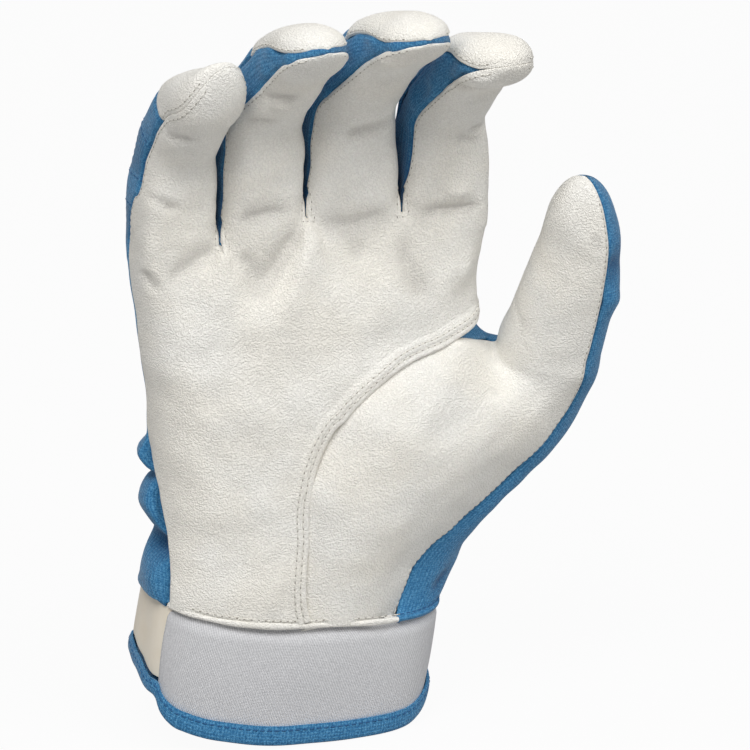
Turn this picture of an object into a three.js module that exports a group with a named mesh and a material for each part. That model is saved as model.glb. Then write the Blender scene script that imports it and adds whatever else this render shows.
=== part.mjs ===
// Right-hand batting glove with its fingers half curled, as it sits on a hand.
// Millimetres, +Z from the wrist to the fingertips, palm towards -Y, thumb towards +X.
// The origin is the middle of the hand opening, level with the lowest point of the hem.
// Every panel is a thin shell on one hand form: four finger tubes, a palm oval and a thumb tube.
import * as THREE from "three";

// Stock thicknesses
const LEATHER = 1.0;
const FABRIC = 0.9;

// Clearances
const SEAM_GAP = 0.4; // between two panels sewn edge to edge
const LAP_GAP = 0.9; // between the edges of the palm and thumb leathers at their lapped seam
const FINGER_GAP = 0.8; // between the sides of two fingers
const PAD_GAP = 0.3; // between stacked cuff layers

// Every height down to the thumb is measured from the wrist seam.
// Fingers, from the little finger to the index finger. Lengths run along the middle line,
// from the finger's fold at the palm to the middle knuckle, the end knuckle and the tip.
const FINGERS = [
  { name: "little", width: 22.5, depth: 21, fold: 110.3, lengths: [23, 21, 20], bends: [5, 35, 28] },
  { name: "ring", width: 24.5, depth: 22.5, fold: 116.3, lengths: [25, 26, 24], bends: [6, 36, 28] },
  { name: "middle", width: 26.5, depth: 23, fold: 116.8, lengths: [27, 28, 25], bends: [6, 39, 30] },
  { name: "index", width: 24.5, depth: 22.5, fold: 115.3, lengths: [24.5, 24, 23], bends: [8, 39, 31] },
];
const LITTLE_SET_BACK = 0.5; // the little finger stands this much behind the other three
const CROTCHES = [107.3, 113.8, 112.8]; // heights of the webs between neighbouring fingers
const FINGER_TURN = 10; // the fingers curl this many degrees towards the thumb
const FINGER_TAPER = 0.94; // width at the end knuckle as a share of the width at the palm
const FINGER_DOME = 14; // length over which the fingertip rounds off
const KNUCKLE_RUN = 9; // half the length over which a knuckle bends
const SQUARENESS = 2.5; // exponent of the rounded sections: 2 is an ellipse

// Seams round a finger, in degrees from the middle of its palm side
const FRONT_EDGE = 76; // finger front to fourchette, at the palm
const FRONT_EDGE_TIP = 68; // and at the end knuckle
const BACK_EDGE = 118; // fourchette to finger back
const OUTER_EDGE = 95; // front to back where the finger has no fourchette
const ULNAR_EDGE = 68; // the same seam at the wrist, on the little-finger side
const OUTER_EDGE_TIP = 62; // the same seam at the end knuckle of the little finger
const TIP_EDGE = 88; // front to cap at the fingertip

// How far each fold opens backwards; the stretch gussets fill these wedges
const BASE_OPENS = 10;
const KNUCKLE_OPENS = 36;

// Palm oval at heights: middle, half width, half depth to the palm and to the back.
// The wrist's oval is the cuff's, drawn in by PALM_DRAWN_IN and PALM_FLATTER.
const WRIST_OVAL = { height: 2.8, middle: 0.5 };
const PALM = [
  { height: 27.8, middle: 5, half: 44.5, front: 23, back: 20 },
  { height: 57.8, middle: 10, half: 50, front: 21, back: 17 },
  { height: 81.8, middle: 7, half: 49.5, front: 17.5, back: 15 },
];
const PALM_DRAWN_IN = 1; // the wrist's oval is this much narrower each side than the cuff
const PALM_FLATTER = 2.5; // and this much shallower each side
const FINGER_BLEND = 26; // height below the finger folds over which the palm turns into four fronts

// Thumb seam on the palm side: degrees round the palm oval, height
const THUMB_SEAM = [
  [-0.5, 2.8], [-2.5, 18.8], [-3, 35.8], [-2.5, 46.8], [-0.5, 55.8], [2, 60.8], [12, 67.6],
  [23, 71.6], [39.5, 74], [47.5, 75.3], [74, 78], [94, 80.8],
];
// The same panel's other end, on the back of the hand
const BACK_SEAM = [
  [46, 2.8], [42, 19.8], [44, 37.8], [52, 55.8], [66, 69.8], [94, 80.8],
];
// Seam between the thumb's leather and its blue back, from the wrist to the thumb's base
const THUMB_OUTER = [
  [25.5, -19, 0.8], [28, -18.3, 6.8], [34, -17, 14.3], [54, -13.5, 27.8], [66, -11.5, 36.3], [77, -10, 47.8],
];

// Thumb tube
const THUMB_BASE = new THREE.Vector3(75, -9, 70.8);
const THUMB_TIP = new THREE.Vector3(80, -22, 121.8);
const THUMB_FACES = new THREE.Vector3(-0.3, -1, 0); // the way the pad of the thumb faces
const THUMB_BOW = 2; // the thumb's middle line bows outwards by this much
const THUMB_WIDTH = 29;
const THUMB_DEPTH = 23;
const THUMB_TAPER = 0.66; // width at the tip as a share of the width at the base
const THUMB_DOME = 15;
const THUMB_INNER_EDGE = 120; // degrees from the middle of the pad: leather wraps round the inner side
const THUMB_OUTER_EDGE = 40;
const THUMB_FOLD = 0.42; // where the thumb bends, as a share of its length
const THUMB_OPENS = 12;
// Swell of the thumb panels below the thumb, as shares of their widths
const THENAR_FRONT = 0.1;
const THENAR_BACK = 0.5;

// Cuff: the ends of its pieces are degrees from the middle of the palm, positive towards the thumb
const CUFF_WIDTH = 84;
const CUFF_DEPTH = 50;
const CUFF_SQUARENESS = 3;
const CUFF_LEAN = 3; // the hem sits this much nearer the little-finger side than the wrist seam
const CUFF_SHEET = 1.5;
const CUFF_HEIGHT = 35.2; // from the hem to the wrist seam, under the palm
const HEM_RISE = 12; // the hem is this much higher at the sides and back than under the palm
const HEM_SLOPE = 6; // and it rises this much more on the little-finger side
const WRIST_SLOPE = 4.2; // the wrist seam is this much higher on the little-finger side
const WRIST_DIP = 2.6; // and dips this much under the palm
const BAND_LEFT = -64;
const BAND_RIGHT = 112;
const STRAP_ROOT = -98;
const SLIT_LEFT = -138;
const SLIT_RIGHT = -156;
const STRAP_TIP = -226;
const STRAP_TIP_TURN = 12; // the strap's free end rounds off over this
const BINDING_HEIGHT = 3.6;
const BINDING_SHEET = 0.8;
const STRAP_INSET = 1.4; // strap edge from the wrist seam and from the binding
const STRAP_SHEET = 1.5;
const PAD_SHEET = 1.0;
const PAD_LENGTH = 48; // hook and loop pads, degrees round the cuff
const PAD_INSET = 2.5; // pad edge from the strap's edge
const VENT_TOP_SHARE = 0.62; // how far the back vent runs from the wrist towards the thumb's web
const TONGUE_LAP = 9; // degrees by which the tongue passes each side of the vent

const DEG = Math.PI / 180;
const lerp = THREE.MathUtils.lerp;
const smooth = THREE.MathUtils.smoothstep;
const clamp = THREE.MathUtils.clamp;

// Signed power, for superellipse sections.
function signedPower(value, exponent) {
  return Math.sign(value) * Math.abs(value) ** exponent;
}

// Across and towards-the-palm shares of a rounded section at an angle from its palm side.
function section(degrees, squareness = SQUARENESS) {
  const power = 2 / squareness;
  return {
    across: signedPower(Math.sin(degrees * DEG), power),
    front: signedPower(Math.cos(degrees * DEG), power),
  };
}

// Angle on a rounded section whose across share is given.
function angleAt(across) {
  return Math.asin(signedPower(clamp(across, -1, 1), SQUARENESS / 2)) / DEG;
}

// A smooth curve through points given as arrays, sampled by share of its length.
function through(points) {
  const curve = new THREE.CatmullRomCurve3(
    points.map(([x, y, z]) => new THREE.Vector3(x, y, z ?? 0)), false, "centripetal",
  );
  return (share) => curve.getPointAt(clamp(share, 0, 1));
}

// Evenly spaced numbers from one end to the other.
function spread(start, end, steps) {
  return Array.from({ length: steps + 1 }, (_, i) => lerp(start, end, i / steps));
}

// A closed sheet from a grid: point(row, column, depth) gives its outer face at depth 0 and its
// inner face at depth 1, and keep(row, column) says which cells of the grid are there.
function sheet(rows, columns, point, keep = () => true) {
  const positions = [];
  const index = [];
  const at = (r, c, depth) => (r * columns + c) * 2 + depth;
  for (let r = 0; r < rows; r++)
    for (let c = 0; c < columns; c++)
      for (const depth of [0, 1]) positions.push(...point(r, c, depth).toArray());
  const kept = (r, c) => r >= 0 && c >= 0 && r < rows - 1 && c < columns - 1 && keep(r, c);
  const quad = (a, b, c, d) => index.push(a, b, c, a, c, d);
  for (let r = 0; r < rows - 1; r++)
    for (let c = 0; c < columns - 1; c++) {
      if (!kept(r, c)) continue;
      quad(at(r, c, 0), at(r, c + 1, 0), at(r + 1, c + 1, 0), at(r + 1, c, 0));
      quad(at(r, c, 1), at(r + 1, c, 1), at(r + 1, c + 1, 1), at(r, c + 1, 1));
      if (!kept(r - 1, c)) quad(at(r, c, 0), at(r, c, 1), at(r, c + 1, 1), at(r, c + 1, 0));
      if (!kept(r + 1, c)) quad(at(r + 1, c, 0), at(r + 1, c + 1, 0), at(r + 1, c + 1, 1), at(r + 1, c, 1));
      if (!kept(r, c - 1)) quad(at(r, c, 0), at(r + 1, c, 0), at(r + 1, c, 1), at(r, c, 1));
      if (!kept(r, c + 1)) quad(at(r, c + 1, 0), at(r, c + 1, 1), at(r + 1, c + 1, 1), at(r + 1, c + 1, 0));
    }
  return facingOut(positions, index);
}

// The same vertices with every face turned out, told by the sign of the enclosed volume,
// and with vertices that no face uses left out.
function facingOut(positions, index) {
  let volume = 0;
  const vertex = (i) => new THREE.Vector3().fromArray(positions, index[i] * 3);
  for (let i = 0; i < index.length; i += 3) volume += vertex(i).dot(vertex(i + 1).cross(vertex(i + 2)));
  const turned = volume < 0 ? index.slice().reverse() : index;
  const used = [...new Set(turned)].sort((a, b) => a - b);
  const renumbered = new Map(used.map((old, i) => [old, i]));
  const geometry = new THREE.BufferGeometry();
  const kept = used.flatMap((i) => positions.slice(i * 3, i * 3 + 3));
  geometry.setAttribute("position", new THREE.Float32BufferAttribute(kept, 3));
  geometry.setIndex(turned.map((i) => renumbered.get(i)));
  return geometry;
}

// Materials; each piece gets its own copy
const material = (color, roughness) => new THREE.MeshStandardMaterial({ color, roughness, metalness: 0 });
const WHITE_LEATHER = material(0xe8e5dd, 0.55);
const BLUE_FABRIC = material(0x2f7fb8, 0.85);
const GREY_ELASTIC = material(0xcfcfd2, 0.75);
const CREAM_STRAP = material(0xd8d0c0, 0.6);
const HOOK_TAPE = material(0xe6e4de, 0.9);

// The hand stands on the cuff: its own heights start at the wrist seam.
const glove = new THREE.Group();
const hand = new THREE.Group();
hand.position.z = CUFF_HEIGHT;
glove.add(hand);

function add(name, geometry, look, group = hand) {
  const mesh = new THREE.Mesh(geometry, look.clone());
  mesh.name = name;
  group.add(mesh);
}

// Finger tubes: where each finger stands, and its middle line in the plane in which it curls
const TURN = FINGER_TURN * DEG;
const ACROSS = new THREE.Vector3(Math.cos(TURN), Math.sin(TURN), 0);
const FORWARD = new THREE.Vector3(Math.sin(TURN), -Math.cos(TURN), 0);
const UP = new THREE.Vector3(0, 0, 1);
const KNUCKLE_ROW_MIDDLE = 6.6; // middle of the row of fingers, from the middle of the cuff

const rowWidth = FINGERS.reduce((sum, f) => sum + f.width + FINGER_GAP, -FINGER_GAP) / Math.cos(TURN);
let nextLeft = KNUCKLE_ROW_MIDDLE - rowWidth / 2;
for (const finger of FINGERS) {
  const pitch = finger.width / Math.cos(TURN);
  finger.middle = nextLeft + pitch / 2;
  nextLeft += pitch + FINGER_GAP / Math.cos(TURN);
  finger.length = finger.lengths[0] + finger.lengths[1] + finger.lengths[2];
  finger.outerLeft = finger === FINGERS[0];
  finger.setBack = finger.outerLeft ? LITTLE_SET_BACK : 0;
  finger.outerRight = finger === FINGERS.at(-1);
}
const knuckleRow = {
  height: FINGERS[1].fold,
  middle: KNUCKLE_ROW_MIDDLE,
  half: rowWidth / 2,
  front: FINGERS[1].depth / 2,
  back: FINGERS[1].depth / 2,
};

// Lean of the finger's middle line from upright, at a length along it.
function fingerLean(finger, along) {
  const [base, knuckle, end] = finger.bends;
  const [toKnuckle, toEnd] = [finger.lengths[0], finger.lengths[0] + finger.lengths[1]];
  return (
    base * smooth(along, -KNUCKLE_RUN, KNUCKLE_RUN) +
    knuckle * smooth(along, toKnuckle - KNUCKLE_RUN, toKnuckle + KNUCKLE_RUN) +
    end * smooth(along, toEnd - KNUCKLE_RUN, toEnd + KNUCKLE_RUN)
  ) * DEG;
}

// Point on the finger's middle line, found by adding short steps, with the direction to its back.
function fingerLine(finger, along) {
  const point = new THREE.Vector3(finger.middle, finger.setBack, finger.fold);
  const steps = Math.max(1, Math.ceil(Math.abs(along) / 1.5));
  for (let i = 0; i < steps; i++) {
    const lean = fingerLean(finger, (along * (i + 0.5)) / steps);
    point.addScaledVector(UP, (Math.cos(lean) * along) / steps);
    point.addScaledVector(FORWARD, (Math.sin(lean) * along) / steps);
  }
  const lean = fingerLean(finger, along);
  const toBack = FORWARD.clone().multiplyScalar(-Math.cos(lean)).addScaledVector(UP, Math.sin(lean));
  return { point, toBack };
}

// Half width and half depth of the finger at a length along it.
function fingerHalf(finger, along) {
  const toEnd = finger.lengths[0] + finger.lengths[1];
  const taper = lerp(1, FINGER_TAPER, clamp(along / toEnd, 0, 1.1));
  const intoDome = clamp((along - (finger.length - FINGER_DOME)) / FINGER_DOME, 0, 1);
  const dome = Math.sqrt(Math.max(0, 1 - intoDome ** 2.4));
  return { width: (finger.width / 2) * taper * dome, depth: (finger.depth / 2) * taper * dome };
}

// Point of the finger's surface.
function onFinger(finger, along, degrees) {
  const { point, toBack } = fingerLine(finger, along);
  const half = fingerHalf(finger, along);
  const { across, front } = section(degrees);
  return point
    .addScaledVector(ACROSS, across * half.width)
    .addScaledVector(toBack, -front * half.depth);
}

// Point square below a surface whose first number runs up the hand and second runs round it.
function below(surface, u, v, depth, stepU, stepV) {
  const point = surface(u, v);
  if (depth === 0) return point;
  const alongU = surface(u + stepU, v).sub(surface(u - stepU, v));
  const alongV = surface(u, v + stepV).sub(surface(u, v - stepV));
  const normal = alongU.cross(alongV).normalize();
  return point.addScaledVector(normal, depth);
}

// Point under the finger's surface.
function inFinger(finger, along, degrees, depth) {
  const safe = Math.min(along, finger.length - 0.1);
  return below((u, v) => onFinger(finger, u, v), safe, degrees, depth, 0.05, 1);
}

// Degrees that cover a length of surface on a finger.
function degreesFor(finger, length) {
  return length / (finger.width / 2) / DEG;
}

// Left and right edges of the finger's front and of its back, in degrees, at a length along it.
function fingerEdges(finger, along) {
  const toEnd = finger.lengths[0] + finger.lengths[1];
  const intoTip = smooth(along, toEnd + 2, finger.length - 2);
  const outer = finger.outerLeft
    ? lerp(OUTER_EDGE, OUTER_EDGE_TIP, smooth(along, 4, toEnd))
    : OUTER_EDGE;
  const shown = lerp(FRONT_EDGE, FRONT_EDGE_TIP, smooth(along, finger.lengths[0] / 2, toEnd));
  const front = lerp(shown, TIP_EDGE, intoTip);
  const back = lerp(BACK_EDGE, TIP_EDGE, intoTip);
  const outerTip = lerp(outer, TIP_EDGE, intoTip);
  return {
    frontLeft: finger.outerLeft ? outerTip : front,
    backLeft: finger.outerLeft ? outerTip : back,
    frontRight: finger.outerRight ? outerTip : front,
    backRight: finger.outerRight ? outerTip : back,
  };
}

// The two folds of a finger: how far each opens backwards and how far it is bent at rest.
function folds(finger) {
  return {
    base: { opens: BASE_OPENS, bend: finger.bends[0] },
    knuckle: { opens: KNUCKLE_OPENS, bend: finger.bends[1] },
  };
}

// How far a fold's wedge reaches along the middle line, at an angle round the finger. It starts at the
// palm side, clears the stock's thickness, and allows for the surface being shorter inside the bend.
function wedge(finger, degrees, { opens, bend }) {
  const toPalm = (finger.depth / 2) * section(degrees).front;
  const height = finger.depth / 2 - toPalm + LEATHER;
  const sharpest = (1.5 * bend * DEG) / (2 * KNUCKLE_RUN);
  return (height * Math.tan((opens / 2) * DEG)) / (1 - sharpest * toPalm);
}

// A panel on a finger between two lengths and two angles, each of which may vary.
function fingerPanel(finger, thickness, steps, turns, start, end, left, right) {
  const rows = steps + 1;
  const columns = turns + 1;
  return sheet(rows, columns, (r, c, depth) => {
    const middle = lerp(start(0), end(0), r / steps);
    const degrees = lerp(left(middle), right(middle), c / turns);
    const along = lerp(start(degrees), end(degrees), r / steps);
    const settled = lerp(left(along), right(along), c / turns);
    return inFinger(finger, along, settled, depth * thickness);
  });
}

// Every panel of one finger.
function buildFinger(finger) {
  const half = SEAM_GAP / 2;
  const trim = degreesFor(finger, half);
  const knuckle = finger.lengths[0];
  const capFrom = knuckle + finger.lengths[1] - 3;
  const tipEnd = finger.length - 0.1;
  const sideEnd = finger.length - 3.5;
  const edges = (along) => fingerEdges(finger, along);
  const frontLeft = (along) => -edges(along).frontLeft + trim;
  const frontRight = (along) => edges(along).frontRight - trim;
  const backLeft = (along) => 360 - edges(along).backLeft - trim;
  const backRight = (along) => edges(along).backRight + trim;
  const fold = folds(finger);
  const base = (degrees) => half + wedge(finger, degrees, fold.base);
  const belowKnuckle = (degrees) => knuckle - half - wedge(finger, degrees, fold.knuckle);
  const aboveKnuckle = (degrees) => knuckle + half + wedge(finger, degrees, fold.knuckle);
  const at = (along) => () => along;
  const { name } = finger;

  const panel = (part, stock, steps, turns, start, end, left, right, look) =>
    add(`${name}_${part}`, fingerPanel(finger, stock, steps, turns, start, end, left, right), look);
  panel("front_base", LEATHER, 5, 6, base, belowKnuckle, frontLeft, frontRight, WHITE_LEATHER);
  panel("front_tip", LEATHER, 9, 6, aboveKnuckle, at(tipEnd), frontLeft, frontRight, WHITE_LEATHER);
  panel("back_base", FABRIC, 3, 6, base, belowKnuckle, backRight, backLeft, BLUE_FABRIC);
  panel("back_middle", FABRIC, 2, 6, aboveKnuckle, at(capFrom - half), backRight, backLeft, BLUE_FABRIC);
  panel("tip_cap", LEATHER, 6, 6, at(capFrom + half), at(tipEnd), backRight, backLeft, WHITE_LEATHER);

  const leftBack = (along) => 360 - edges(along).backLeft + trim;
  const leftFront = (along) => 360 - edges(along).frontLeft - trim;
  const rightFront = (along) => edges(along).frontRight + trim;
  const rightBack = (along) => edges(along).backRight - trim;
  const sides = [];
  if (!finger.outerLeft) sides.push(["fourchette_left", leftBack, leftFront]);
  if (!finger.outerRight) sides.push(["fourchette_right", rightFront, rightBack]);
  for (const [side, from, to] of sides) {
    panel(side, FABRIC, 4, 3, base, belowKnuckle, from, to, BLUE_FABRIC);
    panel(`${side}_tip`, FABRIC, 7, 3, aboveKnuckle, at(sideEnd), from, to, BLUE_FABRIC);
  }
  addGusset(finger, `${name}_knuckle_gusset`, knuckle, fold.knuckle);
  addGusset(finger, `${name}_base_gusset`, 0, fold.base);
}

// Stretch gusset that fills the wedge behind a fold, from one side of the finger round its back.
function addGusset(finger, name, along, fold) {
  const inset = 10; // degrees past the front's edge, where the wedge gets wide enough to sew into
  const left = (at) => fingerEdges(finger, at).frontRight + inset;
  const right = (at) => 360 - fingerEdges(finger, at).frontLeft - inset;
  const reach = (degrees) => wedge(finger, degrees, fold) - SEAM_GAP / 2;
  add(name, fingerPanel(
    finger, FABRIC, 2, 10, (d) => along - reach(d), (d) => along + reach(d), left, right,
  ), BLUE_FABRIC);
}

// Palm oval at a height.
const wristOval = {
  ...WRIST_OVAL,
  half: CUFF_WIDTH / 2 - PALM_DRAWN_IN,
  front: CUFF_DEPTH / 2 - PALM_FLATTER,
  back: CUFF_DEPTH / 2 - PALM_FLATTER,
};
const STATIONS = [wristOval, ...PALM, knuckleRow];
function palmOval(height) {
  let i = 0;
  while (i < STATIONS.length - 2 && height > STATIONS[i + 1].height) i++;
  const [low, high] = [STATIONS[i], STATIONS[i + 1]];
  const share = smooth(height, low.height, high.height);
  const mix = (key) => lerp(low[key], high[key], share);
  return { middle: mix("middle"), half: mix("half"), front: mix("front"), back: mix("back") };
}

// Point of the palm oval, by degrees from the middle of the palm side, sunk below it by a depth.
function onPalm(degrees, height, sunk = 0) {
  const oval = palmOval(height);
  const { across, front } = section(degrees);
  const depth = front > 0 ? oval.front : oval.back;
  return new THREE.Vector3(
    oval.middle + across * (oval.half - sunk),
    -front * (depth - sunk),
    height,
  );
}

// Height of the wrist seam at a share across the wrist.
function wristAt(across) {
  return WRIST_DIP * across ** 2 - WRIST_SLOPE * across;
}

// Height of the webs below one finger, at a share of the way across it.
function crotchUnder(finger, share) {
  const i = FINGERS.indexOf(finger);
  const left = CROTCHES[Math.max(i - 1, 0)];
  const right = CROTCHES[Math.min(i, CROTCHES.length - 1)];
  return lerp(left, right, share);
}

// Columns of the palm or the back. Each runs from the wrist up into one finger and has its angle
// from the middle of that side, on the finger and on the palm oval.
function panelColumns(onBack, turns) {
  const columns = [];
  for (const finger of FINGERS) {
    const edges = fingerEdges(finger, 0);
    const trim = degreesFor(finger, SEAM_GAP / 2);
    const left = -(onBack ? 180 - edges.backLeft : edges.frontLeft) + trim;
    const right = (onBack ? 180 - edges.backRight : edges.frontRight) - trim;
    const middleAngle = angleAt((finger.middle - KNUCKLE_ROW_MIDDLE) / (rowWidth / 2));
    spread(left, right, turns).forEach((onTube, i) => {
      const x = finger.middle + (finger.width / 2) * section(onTube).across;
      const outside = (finger.outerLeft && onTube < 0) || (finger.outerRight && onTube > 0);
      const onOval = outside
        ? lerp(middleAngle, Math.sign(onTube) * 90, Math.abs(onTube) / 90)
        : angleAt((x - KNUCKLE_ROW_MIDDLE) / (rowWidth / 2));
      columns.push({ finger, onTube, onOval, share: i / turns });
    });
  }
  const [first, last] = [columns[0].onOval, columns.at(-1).onOval];
  for (const column of columns) column.fromLeft = (column.onOval - first) / (last - first);
  return columns;
}

// The two big panels, on the palm side and on the back. The thumb-side edge of each follows a seam
// given by angle and height, from the wrist to the web of the thumb.
class HandPanel {
  constructor({ onBack, thickness, seam, lowRows, highRows, turns, vent }) {
    Object.assign(this, { onBack, thickness, lowRows, highRows, vent });
    this.columns = panelColumns(onBack, turns);
    this.seamAt = through(seam);
    this.webHeight = seam.at(-1)[1];
  }

  // Angle from the middle of the palm side, for an angle from the middle of this panel's side.
  round(angle) {
    return this.onBack ? 180 - angle : angle;
  }

  // Angle and height below the thumb's web, by shares up the panel and across it.
  low(up, fromLeft) {
    const edge = this.seamAt(up);
    const trim = LAP_GAP / 2 / palmOval(edge.y).half / DEG;
    const turned = (OUTER_EDGE - ULNAR_EDGE) * (1 - smooth(up, 0, 0.7));
    const first = this.columns[0].onOval + (this.onBack ? -turned : turned);
    const angle = lerp(first, Math.min(edge.x - trim, this.columns.at(-1).onOval), fromLeft);
    const foot = wristAt(section(angle).across) + SEAM_GAP / 2;
    const height = lerp(lerp(wristAt(-1), this.webHeight, up), edge.y, fromLeft);
    return { angle, height: lerp(foot, height, smooth(up, 0, 0.25)) };
  }

  point(r, c, depth) {
    const { finger, onTube, onOval, fromLeft, share } = this.columns[c];
    const sunk = depth * this.thickness;
    if (r <= this.lowRows) {
      const { angle, height } = this.low(r / this.lowRows, fromLeft);
      return onPalm(this.round(angle), height, sunk);
    }
    const degrees = this.round(onTube);
    const crotch = crotchUnder(finger, share);
    const fold = finger.fold - SEAM_GAP / 2 - wedge(finger, degrees, folds(finger).base);
    const rise = (r - this.lowRows) / (this.highRows - 1);
    const height = rise > 1 ? fold : lerp(this.webHeight, crotch, rise);
    const tube = inFinger(finger, height - finger.fold, degrees, sunk);
    const blend = smooth(height, crotch - FINGER_BLEND, crotch);
    return onPalm(this.round(onOval), height, sunk).lerp(tube, blend);
  }

  keep(r, c) {
    const slit = this.columns[c].finger !== this.columns[c + 1].finger;
    if (slit && r === this.lowRows + this.highRows - 1) return false;
    const vented = this.vent && this.columns[c].finger === FINGERS[0] && slit;
    return !(vented && r < this.lowRows * VENT_TOP_SHARE);
  }

  geometry() {
    const rows = this.lowRows + this.highRows + 1;
    return sheet(rows, this.columns.length, (r, c, d) => this.point(r, c, d), (r, c) => this.keep(r, c));
  }
}

// Web between two neighbouring fingers: down the side of one, across, and up the side of the other.
function addWeb(left, right, crotch) {
  const inset = 12; // degrees behind the panels' edges, to lie inside them
  const turns = 4;
  const point = (r, c, depth) => {
    const [finger, side] = r < 2 ? [left, 1] : [right, -1];
    const degrees = side * lerp(FRONT_EDGE + inset, BACK_EDGE - inset, c / turns);
    const top = finger.fold - SEAM_GAP - wedge(finger, degrees, folds(finger).base);
    const high = r === 0 || r === 3;
    const on = inFinger(finger, (high ? top : crotch) - finger.fold, degrees, depth * FABRIC);
    return high ? on : on.setZ(crotch - depth * FABRIC);
  };
  add(`${left.name}_${right.name}_web`, sheet(4, turns + 1, point), BLUE_FABRIC);
}

// Thumb tube: along is measured in millimetres from its base, and below the base it runs into the palm
const thumbUp = THUMB_TIP.clone().sub(THUMB_BASE);
const thumbLength = thumbUp.length();
thumbUp.normalize();
const thumbFront = THUMB_FACES.clone().addScaledVector(thumbUp, -THUMB_FACES.dot(thumbUp)).normalize();
const thumbAcross = thumbUp.clone().cross(thumbFront);

// Point of the thumb's surface.
function onThumb(along, degrees) {
  const taper = lerp(1, THUMB_TAPER, clamp(along / thumbLength, -0.4, 1));
  const intoDome = clamp((along - thumbLength + THUMB_DOME) / THUMB_DOME, 0, 1);
  const size = taper * Math.sqrt(Math.max(0, 1 - intoDome ** 2.4));
  const { across, front } = section(degrees);
  const share = clamp(along / thumbLength, 0, 1);
  const bow = THUMB_BOW * 4 * share * (1 - share);
  return THUMB_BASE.clone()
    .addScaledVector(thumbUp, along)
    .addScaledVector(thumbAcross, (across * size * THUMB_WIDTH) / 2 + bow)
    .addScaledVector(thumbFront, (front * size * THUMB_DEPTH) / 2);
}

// Rails of the thumb panels below the thumb's base: the palm seam, the outer seam and the back seam.
const thumbInnerFoot = onThumb(0, -THUMB_INNER_EDGE);
const onSeam = (seam, onBack) => seam.slice(0, -1).map(([angle, height]) =>
  onPalm(onBack ? 180 - angle : angle, height).toArray());
const palmRail = through([...onSeam(THUMB_SEAM, false), thumbInnerFoot.toArray()]);
const backRail = through([...onSeam(BACK_SEAM, true), thumbInnerFoot.toArray()]);
const outerRail = through([...THUMB_OUTER, onThumb(0, THUMB_OUTER_EDGE).toArray()]);

// Point of the thumb's leather or of its back. Up runs from -1 at the wrist through 0 at the thumb's
// base to 1 at its tip, and across from the panel's left edge to its right edge.
function thumbSkin(onBack, up, across) {
  const [from, to] = onBack
    ? [THUMB_OUTER_EDGE, 360 - THUMB_INNER_EDGE]
    : [-THUMB_INNER_EDGE, THUMB_OUTER_EDGE];
  const degrees = lerp(from, to, across);
  if (up >= 0) return onThumb(up * thumbLength, degrees);
  const share = up + 1;
  const left = onBack ? outerRail(share) : palmRail(share);
  const right = onBack ? backRail(share) : outerRail(share);
  const chord = right.clone().sub(left);
  const out = chord.clone().cross(UP).normalize();
  const swell = onBack ? THENAR_BACK : THENAR_FRONT;
  const bulge = chord.length() * swell * (1 - (2 * across - 1) ** 2);
  const loft = left.lerp(right, across).addScaledVector(out, bulge);
  return loft.lerp(onThumb(up * thumbLength * 0.5, degrees), smooth(share, 0.75, 1));
}

// A panel of the thumb between two heights, which may depend on the angle round the thumb.
function thumbPanel(onBack, thickness, steps, turns, start, end) {
  const trim = LAP_GAP / 2 / (THUMB_WIDTH * 1.4);
  return sheet(steps + 1, turns + 1, (r, c, depth) => {
    const across = lerp(trim, 1 - trim, c / turns);
    const up = lerp(start(across), end(across), r / steps);
    const surface = (u, v) => thumbSkin(onBack, Math.min(u, 1), v);
    const point = below(surface, Math.min(up, 0.998), across, depth * thickness, 0.002, 0.01);
    if (up === -1) point.setZ(wristAt((point.x - wristOval.middle) / wristOval.half) + SEAM_GAP / 2);
    return point;
  });
}

// Thumb: leather and back below and above the fold, and the stretch gusset behind the fold.
function buildThumb() {
  const tip = 0.998;
  const reach = (onBack, across) => {
    const degrees = onBack
      ? lerp(THUMB_OUTER_EDGE, 360 - THUMB_INNER_EDGE, across)
      : lerp(-THUMB_INNER_EDGE, THUMB_OUTER_EDGE, across);
    const height = (THUMB_DEPTH / 2) * (1 - section(degrees).front) + LEATHER;
    return (height * Math.tan((THUMB_OPENS / 2) * DEG)) / thumbLength;
  };
  const half = SEAM_GAP / 2 / thumbLength;
  const wrist = () => -1;
  for (const onBack of [false, true]) {
    const below = (across) => THUMB_FOLD - half - reach(onBack, across);
    const above = (across) => THUMB_FOLD + half + reach(onBack, across);
    const [name, look, stock] = onBack
      ? ["thumb_back", BLUE_FABRIC, FABRIC]
      : ["thumb_panel", WHITE_LEATHER, LEATHER];
    add(name, thumbPanel(onBack, stock, 16, 7, wrist, below), look);
    add(`${name}_tip`, thumbPanel(onBack, stock, 7, 7, above, () => tip), look);
  }
  const inner = (across) => THUMB_FOLD - reach(true, across) + half;
  const outer = (across) => THUMB_FOLD + reach(true, across) - half;
  add("thumb_gusset", thumbPanel(true, FABRIC, 2, 6, inner, outer), BLUE_FABRIC);
}

// Web of the thumb: fills the corner between the palm's edge, the back's edge and the thumb.
function addThumbWeb() {
  const [front, back] = [THUMB_SEAM.at(-2), BACK_SEAM.at(-2)];
  const top = THUMB_SEAM.at(-1);
  const edge = through([
    onPalm(front[0] + 6, front[1] - 1).toArray(),
    onPalm(top[0], top[1] - 2).toArray(),
    onPalm(180 - back[0] - 6, back[1] - 1).toArray(),
  ]);
  const foot = thumbInnerFoot.clone().addScaledVector(thumbAcross, -1);
  const surface = (u, v) => {
    const from = edge(v);
    const to = foot.clone().add(from.clone().sub(foot).multiplyScalar(0.15));
    return from.lerp(to, u);
  };
  const point = (r, c, depth) => {
    const on = surface(lerp(0.06, 1, r / 2), lerp(0.04, 0.96, c / 6));
    return on.addScaledVector(UP, -depth * FABRIC);
  };
  add("thumb_web", sheet(3, 7, point), BLUE_FABRIC);
}

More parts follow.
